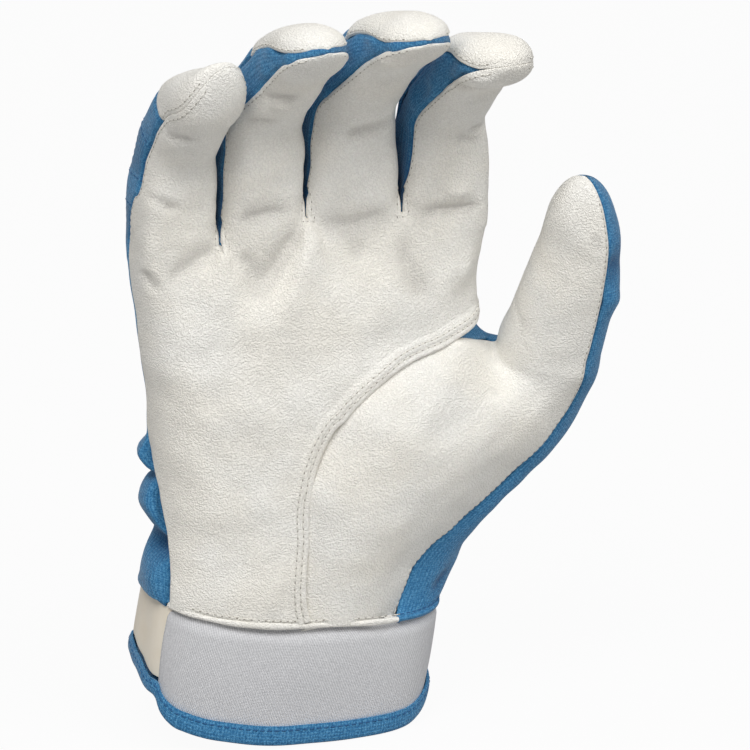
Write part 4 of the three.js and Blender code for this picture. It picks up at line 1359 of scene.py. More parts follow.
@dataclass
class FrontLeather:
    """White leather of the palm and of the finger fronts, in one skin cut at the folds."""

    fingers: tuple[Finger, ...]
    palm: Palm
    edge_radius: float = 0.95
    ulnar_radius: float = 1.2
    lap_profile: tuple[Pair, ...] = (
        (-0.4, -1.6), (-0.3, 0.35), (0.15, 0.75), (0.9, 0.85), (1.55, 0.62), (2.3, 0.85), (2.9, 0.78),
        (3.25, 0.5), (3.8, 0.5), (4.6, 0.2), (5.6, -0.12),
    )
    lap_stock: float = 0.8
    lap_foot: float = 1.55
    lap_stitches: Pair = (2.3, 4.1)
    stitch_inset: float = 1.75
    tack_radius: float = 1.9
    tack: Stitching = Stitching(0.85, 0.35, 0.17)
    palm_creases: tuple[Crease, ...] = (
        Crease(((-43.4, -5.6, 137.7), (-41.2, -7.8, 133.3), (-38.8, -9.1, 130.9)), 1.6, 1.0),
        Crease(((-21.2, -9.6, 142.2), (-29, -9.8, 138.7), (-37.5, -9.6, 132.9)), 3.4, 1.3),
        Crease(((1.2, -9.8, 147.6), (-2.6, -11.7, 141.4), (-7.6, -12.1, 135.1), (-14.3, -14, 126.2)),
               4.0, 1.7),
        Crease(((6.2, -10.4, 146.2), (1.9, -13.8, 139), (-1.5, -14.6, 130.9), (-5.5, -17, 121.9)), 5.0, 1.2,
               FoldKind.RIDGE),
        Crease(((5, -9.6, 147.8), (13.7, -11.1, 145.7), (27.7, -9.9, 147.8)), 4.0, 1.4),
        Crease(((34.2, -10.6, 146.5), (45.7, -10.9, 147.3), (53.5, -11.2, 147.8)), 2.8, 1.5),
        Crease(((40.9, -12.3, 130.2), (46.5, -11.4, 129.4), (51.9, -9.2, 128.5)), 7.0, 1.2, FoldKind.RIDGE),
        Crease(((29.4, -12, 141), (31.9, -13.9, 132.4), (37.7, -14, 121)), 4.0, 1.2),
        Crease(((14.2, -9.7, 146.1), (16.3, -11.1, 141.1), (17.8, -12.7, 135.1)), 2.4, 1.2),
        Crease(((-16.2, -11, 141.3), (-13.8, -11.6, 136.7), (-11.6, -11.9, 130.2)), 2.6, 1.0),
    )
    finger_creases: tuple[Crease, ...] = (
        Crease(((-39, -17, 177), (-37.4, -20.3, 177.4), (-32.5, -22.6, 177.3)), 2.2, 1.0),
        Crease(((-42.2, -7.1, 159.2), (-38.6, -10.8, 156.8), (-33, -10.4, 153.4)), 1.5, 1.0),
        Crease(((-18.2, -10.4, 149.3), (-9.4, -11.6, 151.1), (-1, -10.4, 151.1)), 3.0, 1.1),
        Crease(((-14, -23, 187), (-10.5, -25, 187.8), (-3.5, -25.2, 187.5)), 2.2, 1.1),
        Crease(((-16.7, -13.7, 179.4), (-12.7, -18, 179.6), (-7, -18.2, 179.2)), 1.8, 0.8),
        Crease(((-10, -22.4, 184.2), (-7, -22.8, 184.4), (-3.6, -22.6, 184.3)), 1.8, 0.8, FoldKind.RIDGE),
        Crease(((10.9, -13.7, 176.4), (20, -14.1, 177.1), (29, -12, 178.5)), 2.2, 1.2, FoldKind.RIDGE),
        Crease(((11, -12.7, 172), (20, -13.2, 172.5), (28, -11, 174)), 2.4, 0.9),
        Crease(((12, -37, 198), (18.8, -39.5, 198.9), (25, -40.4, 199.2)), 3.0, 0.9, FoldKind.RIDGE),
        Crease(((36, -31, 187), (41, -33, 188.5), (48, -34, 188)), 2.0, 1.1),
        Crease(((38, -39.5, 192), (43.1, -40.2, 192.5), (48, -41.3, 192.9)), 2.6, 0.9, FoldKind.RIDGE),
        Crease(((42.7, -11.2, 151.6), (46.4, -11.3, 152.2), (50.5, -11.3, 152.4)), 4.0, 1.3, FoldKind.RIDGE),
        Crease(((48, -13, 170.6), (52.5, -11.5, 170), (55.5, -8.5, 169.5)), 1.6, 1.1),
        Crease(((44, -13.6, 168.8), (49, -12.9, 167.3), (53.5, -10.5, 166.2)), 1.8, 0.9),
    )
    ripples: tuple[Ripple, ...] = (Ripple(26, 0.3, 3), Ripple(9, 0.1, 5), Ripple(4.2, 0.035, 8))
    stitching: Stitching = Stitching()

    def build(self) -> None:
        """Builds the palm and the finger fronts."""
        self.hand = hand = HandSkin(Side.FRONT, self.fingers, self.palm, reach=-0.5)
        hand.ruffle(self.ripples)
        hand.skin.fold((*self.palm_creases, *self.finger_creases))
        self._turn_edges()
        dress(hand.skin.panel("palm_leather", LEATHER_STOCK, slice(0, hand.row_crotch + 1)),
              Finish.LEATHER, ON_HAND, ["palm_panel"])
        for finger in self.fingers:
            self._finger(finger)
        self._sew_palm()
        self._tack_webs()

    def _tack_webs(self) -> None:
        """Sews a half round under the end of each slit."""
        hand = self.hand
        turn = np.linspace(-np.pi, 0, 40)[:, None]
        below = slice(hand.row_crotch - 12, hand.row_crotch + 1)
        for number in range(1, len(self.fingers)):
            column = number * hand.width
            end = hand.skin.points[hand.row_crotch, column - 1:column + 1].mean(0)
            ring = end + self.tack_radius * (np.cos(turn) * RIGHT + np.sin(turn) * UP)
            self.tack.sew(f"web_tack_{number}", *hand.skin.settle(ring, below), Finish.WHITE_THREAD)

    def _turn_edges(self) -> None:
        """Turns the sewn edges in, down the fingers and the little-finger side of the palm."""
        hand = self.hand
        height = np.zeros(hand.skin.points.shape[:2])
        for finger in self.fingers:
            left, right = hand.edge_drop(finger, self.edge_radius)
            height[:, hand.columns(finger)] -= left + right
        below = 1 - smooth(hand.rows, hand.row_crotch - 5, hand.row_crotch)
        hand.skin.push(height - below * rolled(hand.skin.from_left(), self.ulnar_radius))

    def _finger(self, finger: Finger) -> None:
        """Cuts out and sews the two fronts of one finger."""
        hand, name = self.hand, finger.size.name
        columns = hand.columns(finger)
        cuts = (
            ("base", slice(hand.row_crotch, hand.row_split + 1), finger.base_follow()),
            ("tip", hand.tip_rows(finger, hand.row_split), finger.tip_follow()),
        )
        for part, rows, follow in cuts:
            panel = hand.skin.panel(f"{name}_front_{part}_leather", LEATHER_STOCK, rows, columns)
            dress(panel, Finish.LEATHER, follow, [f"{name}_front_{part}"])
            stop = slice(rows.start, min(rows.stop, hand.row_dome + 13))
            self.stitching.sew_edges(f"{name}_front_{part}", hand.skin, self.stitch_inset, stop, columns,
                                     follow)

    def _sew_palm(self) -> None:
        """Lays and sews the lap beside the thumb."""
        hand = self.hand
        share = np.linspace(0.004, 0.985, 170)
        angle, height = hand.seam(share).T
        line = self.palm.surface(angle, height)
        below = slice(0, hand.low_rows + 4)
        lap = Ribbon(self.lap_profile).lay(hand.skin, line, below)
        dress(lap.panel("palm_lap_leather", self.lap_stock), Finish.LEATHER, ON_HAND)
        for number, inset in enumerate(self.lap_stitches):
            sewn = lap.inset_line(inset + self.lap_foot)
            self.stitching.sew(f"palm_lap_stitches_{number}", *sewn, Finish.WHITE_THREAD)


@dataclass
class BackKnit:
    """Blue knit of the back of the hand and of the finger backs, with the white fingertip caps."""

    fingers: tuple[Finger, ...]
    palm: Palm
    front: Skin
    edge_radius: float = 0.8
    cap_puff: float = 0.35
    cap_groove: float = 0.5
    cap_stitches: float = 1.3
    under_drop: float = 2.3
    under_run: float = 1.7
    under_least: Pair = (0.9, 2.6)
    under_wrist: float = 2.4
    rib_pitch: float = 2.6
    rib_height: float = 0.42
    rib_sides: Pair = (4, 8)
    rib_outer_sides: Pair = (10, 16)
    base_gusset: tuple[int, int] = (1, 9)
    knuckle_gusset: tuple[int, int] = (9, 28)
    vent: tuple[float, float, float, float] = (-26.0, 7.5, 40.0, 93.0)
    vent_depth: float = 14.0
    vent_taper: float = 1.6
    vent_stitches: float = 0.9
    tongue_rise: Pair = (0.35, 0.2)
    vent_edge: tuple[Pair, ...] = ((-1.3, -0.3), (-1.0, 0.55), (0.0, 0.9), (1.0, 0.55), (1.3, -0.3))
    lumps: tuple[Point, ...] = (
        (81.5, 3.4, 3.2), (75.5, 1.6, -2.5), (68.0, 5.5, 3.4), (56.6, 3.2, -4.2), (46.0, 5.5, 2.0),
        (39.0, 1.6, -1.5),
    )
    gather_clear: float = 3.5
    gather_clear_to: Pair = (46, 56)
    gather_fade: Pair = (9, 24)
    ripples: tuple[Ripple, ...] = (Ripple(26, 0.3, 3), Ripple(9, 0.1, 5))
    stitching: Stitching = Stitching()

    def build(self) -> None:
        """Builds the back, the finger backs and the caps."""
        self.hand = hand = HandSkin(Side.BACK, self.fingers, self.palm, reach=2.5)
        skin = hand.skin
        self._gather(skin)
        hand.ruffle(self.ripples)
        self._turn_edges(skin)
        self._rib(skin)
        dress(skin.panel("back_knit", KNIT_STOCK, slice(0, hand.row_crotch + 1)),
              Finish.KNIT, ON_HAND, ["back_panel"])
        for finger in self.fingers:
            self._finger(finger)
        self._vent()

    def _turn_edges(self, skin: Skin) -> None:
        """Turns the sewn edges in, tucks the outer ones under the leather, and puffs the caps."""
        hand, rows = self.hand, self.hand.rows
        capped = smooth(rows, hand.row_cap - 1, hand.row_cap + 4)
        height = np.zeros(skin.points.shape[:2])
        for finger in self.fingers:
            columns = hand.columns(finger)
            from_left, from_right = skin.from_left(columns), skin.from_right(columns)
            left, right = hand.edge_drop(finger, self.edge_radius)
            if finger.outer_left:
                deeper = mix(self.under_wrist, 1, smooth(rows, 0, 10))
                left = mix(self._under(from_left, columns.start) * deeper, left, capped)
            if finger.outer_right:
                right = mix(self._under(from_right, columns.stop - 1), right, capped)
            inner = smooth(np.minimum(from_left, from_right), 0, 3.0)
            puffed = self.cap_puff * smooth(rows, hand.row_cap, hand.row_cap + 2) * inner
            height[:, columns] += puffed - left - right
        skin.push(height - self.cap_groove * bell(np.abs(rows - hand.row_cap), 0.8))

    def _under(self, inset: Array, column: int) -> Array:
        """How far the knit dips under the leather's edge, by its inset from its own edge at a column."""
        apart = self.front.points[:, column] - self.hand.skin.points[:, column]
        lap = np.linalg.norm(apart, axis=-1)[:, None]
        start, end = map(np.maximum, (lap - self.under_run, lap), self.under_least)
        return self.under_drop * (1 - smooth(inset, start, end))

    def _gussets(self) -> tuple[tuple[int, int], ...]:
        """Rows of the ribbed gussets over the base and the knuckle of a finger."""
        hand, (low, fold), (knuckle, middle) = self.hand, self.base_gusset, self.knuckle_gusset
        base = (hand.row_crotch + low, hand.row_fold + fold)
        return base, (hand.row_split + knuckle, hand.row_split + middle)

    def _rib(self, skin: Skin) -> None:
        """Raises ribs across the gussets."""
        rows = self.hand.rows
        height = np.zeros(skin.points.shape[:2])
        for finger in self.fingers:
            columns = self.hand.columns(finger)
            along = run_lengths(skin.points[:, columns.start + self.hand.width // 2])[:, None]
            inside = 1.0
            for inset, outer in ((skin.from_left(columns), finger.outer_left),
                                 (skin.from_right(columns), finger.outer_right)):
                inside = inside * smooth(inset, *(self.rib_outer_sides if outer else self.rib_sides))
            for start, end in self._gussets():
                shown = inside * smooth(rows, start - 1, start + 2) * (1 - smooth(rows, end - 2, end + 1))
                height[:, columns] += self.rib_height * np.sin(2 * np.pi * along / self.rib_pitch) * shown
        skin.push(height)

    def _vent(self) -> None:
        """Lays the tongue of the vent above the slit in the cuff, with bound edges."""
        skin, rows = self.hand.skin, slice(0, self.hand.low_rows)
        middle, half, low, high = self.vent
        share = np.linspace(0, 1, 70)[:, None]
        across = np.linspace(-1, 1, 15)[None, :]
        x = middle + half * (1 - share**self.vent_taper) * across
        guess = np.stack(matched(x, self.vent_depth, mix(low, high, share)), -1)
        on, normals = skin.settle(guess, rows)
        rise, rib = self.tongue_rise
        ribs = rise + rib * np.sin(2 * np.pi * share * (high - low) / self.rib_pitch)
        tongue = Skin(on + normals * ribs[..., None], REAR)
        dress(tongue.panel("vent_tongue_knit", KNIT_STOCK), Finish.RIB, ON_HAND, ["vent_tongue"])
        for edge, side in ((0, "left"), (-1, "right")):
            strip = Ribbon(self.vent_edge, 14).lay(skin, guess[:, edge], rows)
            dress(strip.panel(f"vent_{side}_binding", 0.5), Finish.KNIT, ON_HAND)
            sewn = strip.inset_line(self.vent_stitches)
            self.stitching.sew(f"vent_{side}_stitches", *sewn, Finish.BLUE_THREAD)

    def _gather(self, skin: Skin) -> None:
        """Gathers the knit into lumps down the little-finger side, where the strap pulls it in, with painted
        shade in the hollows between them.
        """
        edge = skin.from_left()
        height = skin.points[..., 2]
        clear = self.gather_clear * (1 - smooth(height, *self.gather_clear_to))
        fade = smooth(edge - clear, 0.0, 3.0) * (1 - smooth(edge, *self.gather_fade))
        lumps = sum(size * bell(height - at, wide) for at, wide, size in self.lumps)
        skin.push(lumps * fade)
        # Painted shade in the hollows between the lumps.
        skin.crease = np.clip(-lumps / 4, 0, 0.9) * fade

    def _finger(self, finger: Finger) -> None:
        """Cuts out one finger's backs and its cap."""
        hand, name = self.hand, finger.size.name
        columns = hand.columns(finger)
        base, tip = finger.base_follow(), finger.tip_follow()
        (_, fold), (knuckle, middle) = self._gussets()
        cuts = (
            ("base_gusset", slice(hand.row_crotch, fold + 1), base, Finish.RIB),
            ("back_base", slice(fold, hand.row_split + 1), base, Finish.KNIT),
            ("back_upper", slice(hand.row_split, knuckle + 1), tip, Finish.KNIT),
            ("knuckle_gusset", slice(knuckle, middle + 1), tip, Finish.RIB),
            ("back_middle", slice(middle, hand.row_cap + 1), tip, Finish.KNIT),
            ("cap", hand.tip_rows(finger, hand.row_cap), tip, Finish.LEATHER),
        )
        other_nodes = {"back_upper": (), "cap": (f"{name}_tip_cap",)}
        inside = slice(columns.start + 4, columns.stop - 4)
        for row, follow in ((fold + 2, base), (knuckle - 2, tip), (middle + 2, tip)):
            self.stitching.sew(f"{name}_gusset_stitches_{row}", hand.skin.points[row, inside],
                               hand.skin.normals()[row, inside], Finish.BLUE_THREAD, follow)
        for part, rows, follow, finish in cuts:
            stock = LEATHER_STOCK if finish is Finish.LEATHER else KNIT_STOCK
            cover = hand.skin.panel(f"{name}_{part}_cover", stock, rows, columns)
            dress(cover, finish, follow, other_nodes.get(part, (f"{name}_{part}",)))
        rows = slice(hand.row_cap + 1, hand.row_dome + 13)
        self.stitching.sew_edges(f"{name}_cap", hand.skin, self.cap_stitches, rows, columns, tip)


@dataclass
class Fourchettes:
    """Blue knit strips down the sides of the fingers, and the webs that join them."""

    fingers: tuple[Finger, ...]
    sunk: float = 0.35
    under_drop: float = 0.6
    turns: int = 18
    web_rows: int = 7
    base_rows: int = 11
    lining_length: float = 9
    lining_stock: float = 0.4
    ripple: Ripple = Ripple(7, 0.2, 21)
    under_edge: Pair = (0.8, 2.2)
    shade: float = 0.85
    shade_to: Pair = (4, 30)
    web_rise: float = 1.6
    web_drop: float = 1.2
    web_side: float = 94.0
    web_span: Pair = (64, 122)

    def build(self) -> None:
        """Builds the strips, the linings and the webs."""
        for finger in self.fingers:
            if not finger.outer_left:
                self._strip(finger, "left")
            if not finger.outer_right:
                self._strip(finger, "right")
            self._lining(finger)
        for left, right in zip(self.fingers[:-1], self.fingers[1:]):
            self._web(left, right)

    def _lining(self, finger: Finger) -> None:
        """Builds the knit under the panels at one fingertip."""
        turn = np.sin(np.linspace(0, np.pi / 2, 13))[:, None]
        along = finger.length - self.lining_length + self.lining_length * turn
        points = finger.surface(along, np.linspace(0, 360, 61)[None, :])
        skin = Skin(points, points - finger.line(along))
        skin.push(np.full(points.shape[:2], -LEATHER_STOCK))
        finish = Finish.KNIT if finger.size.banded else Finish.LEATHER
        dress(skin.panel(f"{finger.size.name}_tip_lining", self.lining_stock), finish, finger.tip_follow())

    def _strip(self, finger: Finger, side: str) -> None:
        """Builds one strip, in two pieces."""
        left_side = side == "left"
        sign = -1 if left_side else 1
        low = finger.crotches[0 if left_side else 1] - finger.size.fold
        along = np.concatenate([
            np.linspace(low, 0, self.web_rows + 1)[:-1],
            np.linspace(0, SPLIT, self.base_rows + 1),
            np.linspace(SPLIT, finger.cap_from, 27)[1:],
            self._end(finger),
        ])[:, None]
        front, back = finger.edges(along)[:2] if left_side else finger.edges(along)[2:]
        near, far = front - UNDER_LAP, back + UNDER_LAP
        shallow = np.minimum(near, finger.web_limit(along, sign) + 10)
        share = np.linspace(0, 1, self.turns + 1)
        degrees, depth = (
            sign * mix(*edges[::sign], share) for edges in ((near, far), (shallow, far))
        )
        skin = Skin(finger.surface(along, degrees, depth), sign * ACROSS)
        left, right = skin.from_left(), skin.from_right()
        drop = self.under_drop * (2 - smooth(left, *self.under_edge) - smooth(right, *self.under_edge))
        skin.push(self.ripple(skin.points) - self.sunk - drop * smooth(left[:, -1:], 2, 7))
        # Painted shade: the strips darken towards the webs, where the slits between the fingers are shaded.
        above = finger.above_web(along, sign)
        shade = self.shade * (1 - smooth(above, *self.shade_to))
        skin.crease = np.broadcast_to(shade, skin.points.shape[:2])
        cut = self.web_rows + self.base_rows
        name = f"{finger.size.name}_fourchette_{side}"
        dress(skin.panel(f"{name}_base_knit", KNIT_STOCK, slice(0, cut + 1)), Finish.KNIT,
              finger.base_follow(), [name])
        dress(skin.panel(f"{name}_tip_knit", KNIT_STOCK, slice(cut, None)), Finish.KNIT,
              finger.tip_follow(), [f"{name}_tip"])

    @staticmethod
    def _end(finger: Finger) -> Array:
        """Lengths of the last rows: over the fingertip where the strip runs round it."""
        if not finger.size.banded:
            return np.linspace(finger.cap_from, finger.length - SIDE_END, 22)[1:]
        turn = np.sin(np.linspace(0, np.pi / 2, 27))[1:]
        return finger.cap_from + (finger.length - finger.cap_from) * turn

    def _web(self, left: Finger, right: Finger) -> None:
        """Builds the web between two fingers: down one side, round, and up the other."""
        crotch = left.crotches[1]
        depth = mix(*self.web_span, np.linspace(0, 1, self.turns + 1))
        heights = np.linspace(crotch + self.web_rise, crotch - self.web_drop, 6)[:, None]
        down, up = (
            finger.surface(heights - finger.size.fold, sign * self.web_side, sign * depth)[::sign]
            for finger, sign in ((left, 1), (right, -1))
        )
        middle = (down[-1] + up[0]) / 2 - UP * 0.5
        skin = Skin(np.concatenate([down, middle[None], up]), UP)
        name = f"{left.size.name}_{right.size.name}_web"
        dress(skin.panel(f"{name}_knit", KNIT_STOCK), Finish.KNIT, ON_HAND, [name])


class ThumbForm:
    """Form of the thumb and of the panels that run up into it."""

    base = np.array([75.0, -9.0, 106.0])
    tip = np.array([80.0, -22.0, 157.0])
    faces = np.array([-0.3, -1.0, 0.0])
    bow, width, depth, taper = 2.0, 29.0, 23.0, 0.66
    dome, dome_power = 19.0, 2.1
    outer_edge = 38.0
    inner_edges = (98, 124)
    flare = 0.8
    swell_front, swell_back = 0.1, 0.55
    mound = 5.0
    back_reach = (30.0, 20.0)
    loft_to_thumb = {Side.FRONT: (-0.12, -0.55, -0.55), Side.BACK: (-0.55, -0.25, -0.12)}
    wrist_span, wrist_level, wrist_run = (27.5, 134.0), 38.0, -0.86
    foot_below = 3.4
    outer_points = (
        (25.5, -19, 36), (28, -18.3, 42), (34, -17, 49.5), (54, -13.5, 63), (66, -11.5, 71.5), (77, -10, 83),
    )

    def __init__(self, palm: Palm) -> None:
        """Sets up the thumb's axes and its rails."""
        self.palm = palm
        run = self.tip - self.base
        self.length = float(np.linalg.norm(run))
        self.up = run / self.length
        self.front = unit(self.faces - self.up * self.faces.dot(self.up))
        self.across = np.cross(self.up, self.front)
        self.run = self.length + self.foot_below
        self.inner_foot = self.surface(-self.foot_below, -self.inner_edge(-self.foot_below))
        palm_seam = palm.surface(*np.transpose(HandSkin.thumb_seam[:-2]))
        angles, heights = np.transpose(HandSkin.back_seam[:-1])
        back_seam = palm.surface(180 - angles, heights)
        self.palm_rail = curve_through(np.vstack([palm_seam, self.inner_foot]))
        self.back_rail = curve_through(np.vstack([back_seam, self.inner_foot]))
        outer_foot = self.surface(-self.foot_below, self.outer_edge)
        self.outer_rail = curve_through(np.vstack([np.array(self.outer_points), outer_foot]))

    def inner_edge(self, along: Array) -> Array:
        """Angle of the seam on the thumb's inner side."""
        return mix(*self.inner_edges, smooth(along, -4, 20))

    def surface(self, along: Array, degrees: Array) -> Array:
        """Point of the thumb at a length from its base and an angle from its pad."""
        along, degrees = matched(along, degrees)
        taper = mix(1, self.taper, np.clip(along / self.length, -0.4, 1))
        into = np.clip((along - self.length + self.dome) / self.dome, 0, 1)
        size = taper * np.sqrt(np.maximum(0, 1 - into**self.dome_power))
        across, front = section(degrees)
        share = np.clip(along / self.length, 0, 1)
        wide = across * size * self.width / 2 + self.bow * 4 * share * (1 - share)
        wide = wide + self.flare * np.minimum(across, 0) * (1 - smooth(along, -4, 14))
        deep = front * size * self.depth / 2
        axes = ((self.up, along), (self.across, wide), (self.front, deep))
        return self.base + sum(axis * length[..., None] for axis, length in axes)

    def skin(self, side: Side, up: Array, across: Array) -> Array:
        """Point of a thumb panel: up from -1 at the wrist to 1 at the tip, across from its left edge."""
        up, across = matched(up, across)
        inner, outer, rear = self.palm_rail(up + 1), self.outer_rail(up + 1), self.back_rail(up + 1)
        a = across[..., None]
        reach = np.where(up >= 0, up * self.run, up * self.length * 0.5) - self.foot_below
        inner_edge = self.inner_edge(reach)
        if side is Side.FRONT:
            degrees = mix(-inner_edge, self.outer_edge, across)
            chord = outer - inner
            long = np.linalg.norm(chord, axis=-1, keepdims=True)
            bulge = long * self.swell_front + self.mound * np.sin(np.pi * np.clip(up + 1, 0, 1))[..., None]
            bulge = bulge * (1 - (2 * a - 1) ** 2)
            loft = mix(inner, outer, a) + unit(np.cross(chord, UP)) * bulge
        else:
            degrees = mix(self.outer_edge, 360 - inner_edge, across)
            chord = rear - outer
            long = np.linalg.norm(chord, axis=-1, keepdims=True)
            past = mix(*self.back_reach, smooth(up, -1, -0.5))[..., None]
            over = outer + unit(outer - inner) * past
            behind = rear + unit(np.cross(chord, UP)) * long * self.swell_back
            b = 1 - a
            loft = b**3 * outer + 3 * b * b * a * over + 3 * b * a * a * behind + a**3 * rear
        tube = self.surface(np.minimum(reach, self.length - 0.04), degrees)
        start = np.interp(across, [0.0, 0.4, 1.0], self.loft_to_thumb[side])
        points = mix(loft, tube, smooth((up - start) / -start, 0, 1)[..., None])
        settle = 1 - smooth(up, -1, self.wrist_run)
        if side is Side.BACK:
            ring = self.palm.surface(mix(*self.wrist_span, across), self.wrist_level)
            points = mix(points, ring, settle[..., None])
        wrist = wrist_at((points[..., 0] - WRIST_LEFT) / WRIST_HALF) - 0.5
        points[..., 2] = mix(points[..., 2], wrist, settle)
        return points


@dataclass
class Thumb:
    """Thumb: leather panel, blue back and the small web beside the index finger."""

    palm: Palm
    edge_radius: float = 0.9
    split: float = 9.0
    stretch: float = 25
    low_rows: int = 92
    base_rows: int = 15
    column_room: float = 44.0
    column_pitch: float = 1.2
    under_lap: float = 0.07
    lap_fade: Pair = (-0.12, 0)
    tip_run: Pair = (0.75, 0.95)
    stitch_inset: float = 1.5
    web_edge: tuple[Pair, ...] = ((52, 110.5), (92, 113.5), (104, 112), (117, 105), (122, 97))
    web_sunk: float = 1.1
    web_end: float = 0.15
    web_sag: float = 1.2
    lap_drops: tuple[tuple[float, Pair], ...] = ((0.3, (0.5, 5.0)), (0.9, (-2.2, -0.3)))
    back_sunk: float = 0.2
    front_creases: tuple[Crease, ...] = (
        Crease(((63.7, -9.2, 118.7), (63.5, -14.9, 114.3), (63.6, -15.6, 109.5)), 0.9, 0.5),
        Crease(((58, -11, 107), (55.2, -13.6, 104.5), (54, -17.3, 98.8), (54.8, -17.4, 96.7),
                (60, -17, 87.8)), 1.0, 0.6),
        Crease(((79.4, -27.5, 141.1), (81.3, -28.1, 139.1), (82.7, -28.1, 136.6)), 1.6, 0.8),
    )
    back_creases: tuple[Crease, ...] = (
        Crease(((44.5, -9.5, 42), (42.2, -11.9, 40.7), (39.5, -13.8, 39.3), (36.4, -15.3, 37.4)), 1.8, 1.2),
        Crease(((85.5, -27, 121), (89, -21, 120), (90, -13, 119)), 6.0, 1.1, FoldKind.RIDGE),
        Crease(((85, -29, 132), (88, -24, 132), (90, -16, 132)), 5.0, 0.9),
    )
    ripples: tuple[Ripple, ...] = (Ripple(26, 0.34, 33), Ripple(9, 0.09, 35))
    stitching: Stitching = Stitching()

    def build(self) -> None:
        """Builds the panels on both sides."""
        self.form = ThumbForm(self.palm)
        for side in Side:
            self._side(side)
        self._web()

    def _rows(self) -> tuple[Array, int]:
        """Heights of the rows, and the row at which the panels are cut."""
        form = self.form
        straight = form.length - form.dome
        turn = np.linspace(0, np.pi / 2, 17)[1:]
        low = np.linspace(-1, 0, self.low_rows + 1)
        along = np.concatenate([
            np.linspace(-form.foot_below, self.split, self.base_rows + 1)[1:],
            np.linspace(self.split, straight, 28)[1:],
            straight + form.dome * np.sin(turn),
        ])
        rows = np.concatenate([low, (along + form.foot_below) / form.run])
        return rows[:, None], self.low_rows + self.base_rows

    def follow(self) -> Follow:
        """Carrier of the panels across the thumb's fold."""
        form = self.form
        start = form.base + form.up * (self.split + BEND_CLEAR)
        end = start + form.up * self.stretch
        return Follow("hand", "thumb_tip", start, end)

    def _side(self, side: Side) -> None:
        """Builds one side in two pieces."""
        rows, cut = self._rows()
        front = side is Side.FRONT
        shares = edge_spaced(self.column_room, self.column_pitch)
        fade = 1 - smooth(rows, *self.lap_fade)
        across = shares - (self.under_lap * fade * (1 - shares) ** 3 if front else 0)
        outward = 0.2 * RIGHT - REAR if front else 0.5 * RIGHT + REAR
        skin = Skin(self.form.skin(side, rows, across), outward)
        height = sum(ripple(skin.points) for ripple in self.ripples)
        skin.push(height * (1 - HandSkin.tip_even * smooth(rows, *self.tip_run)))
        skin.fold(self.front_creases if front else self.back_creases)
        left, right = skin.from_left(), skin.from_right()
        if front:
            drop = rolled(right, self.edge_radius) + (1 - fade) * rolled(left, self.edge_radius)
            seam = np.array([np.interp(0, a, d) for a, d in zip(np.broadcast_to(across, left.shape), left)])
            past = left - seam[:, None]
            drop = drop + fade * sum(deep * (1 - smooth(past, *run)) for deep, run in self.lap_drops)
        else:
            drop = rolled(left, self.edge_radius) + (1 - fade) * rolled(right, self.edge_radius)
            drop = drop + self.back_sunk
        skin.push(-drop)
        node = "thumb_panel" if front else "thumb_back"
        finish, stock = (Finish.LEATHER, LEATHER_STOCK) if front else (Finish.KNIT, KNIT_STOCK)
        nodes = [node] if front else [node, "thumb_gusset"]
        dress(skin.panel(f"{node}_low_cover", stock, slice(0, cut + 1)), finish, ON_HAND, nodes)
        tip = skin.panel(f"{node}_tip_cover", stock, slice(cut, None))
        dress(tip, finish, self.follow(), [f"{node}_tip"])
        if front:
            runs = (("low", slice(2, cut + 1), ON_HAND), ("tip", slice(cut, -8), self.follow()))
            for part, part_rows, follow in runs:
                sewn = skin.inset_line(self.stitch_inset, True, part_rows)
                self.stitching.sew(f"thumb_{part}_stitches", *sewn, Finish.WHITE_THREAD, follow)

    def _web(self) -> None:
        """Builds the small web beside the index finger."""
        around = self.palm.surface(*np.transpose(self.web_edge))
        edge = curve_through(around - self.web_sunk * unit(around * (1, 1, 0)))
        foot = self.form.inner_foot - self.form.across
        v, u = matched(np.linspace(0.0, 1.0, 25)[None, :], np.linspace(0.0, 1.0, 13)[:, None])
        start = edge(v)
        end = foot + (start - foot) * self.web_end
        sag = self.web_sag * np.sin(np.pi * u) * np.sin(np.pi * v)
        skin = Skin(mix(start, end, u[..., None]) - UP * sag[..., None], UP)
        dress(skin.panel("thumb_web_knit", KNIT_STOCK), Finish.KNIT, ON_HAND, ["thumb_web"])


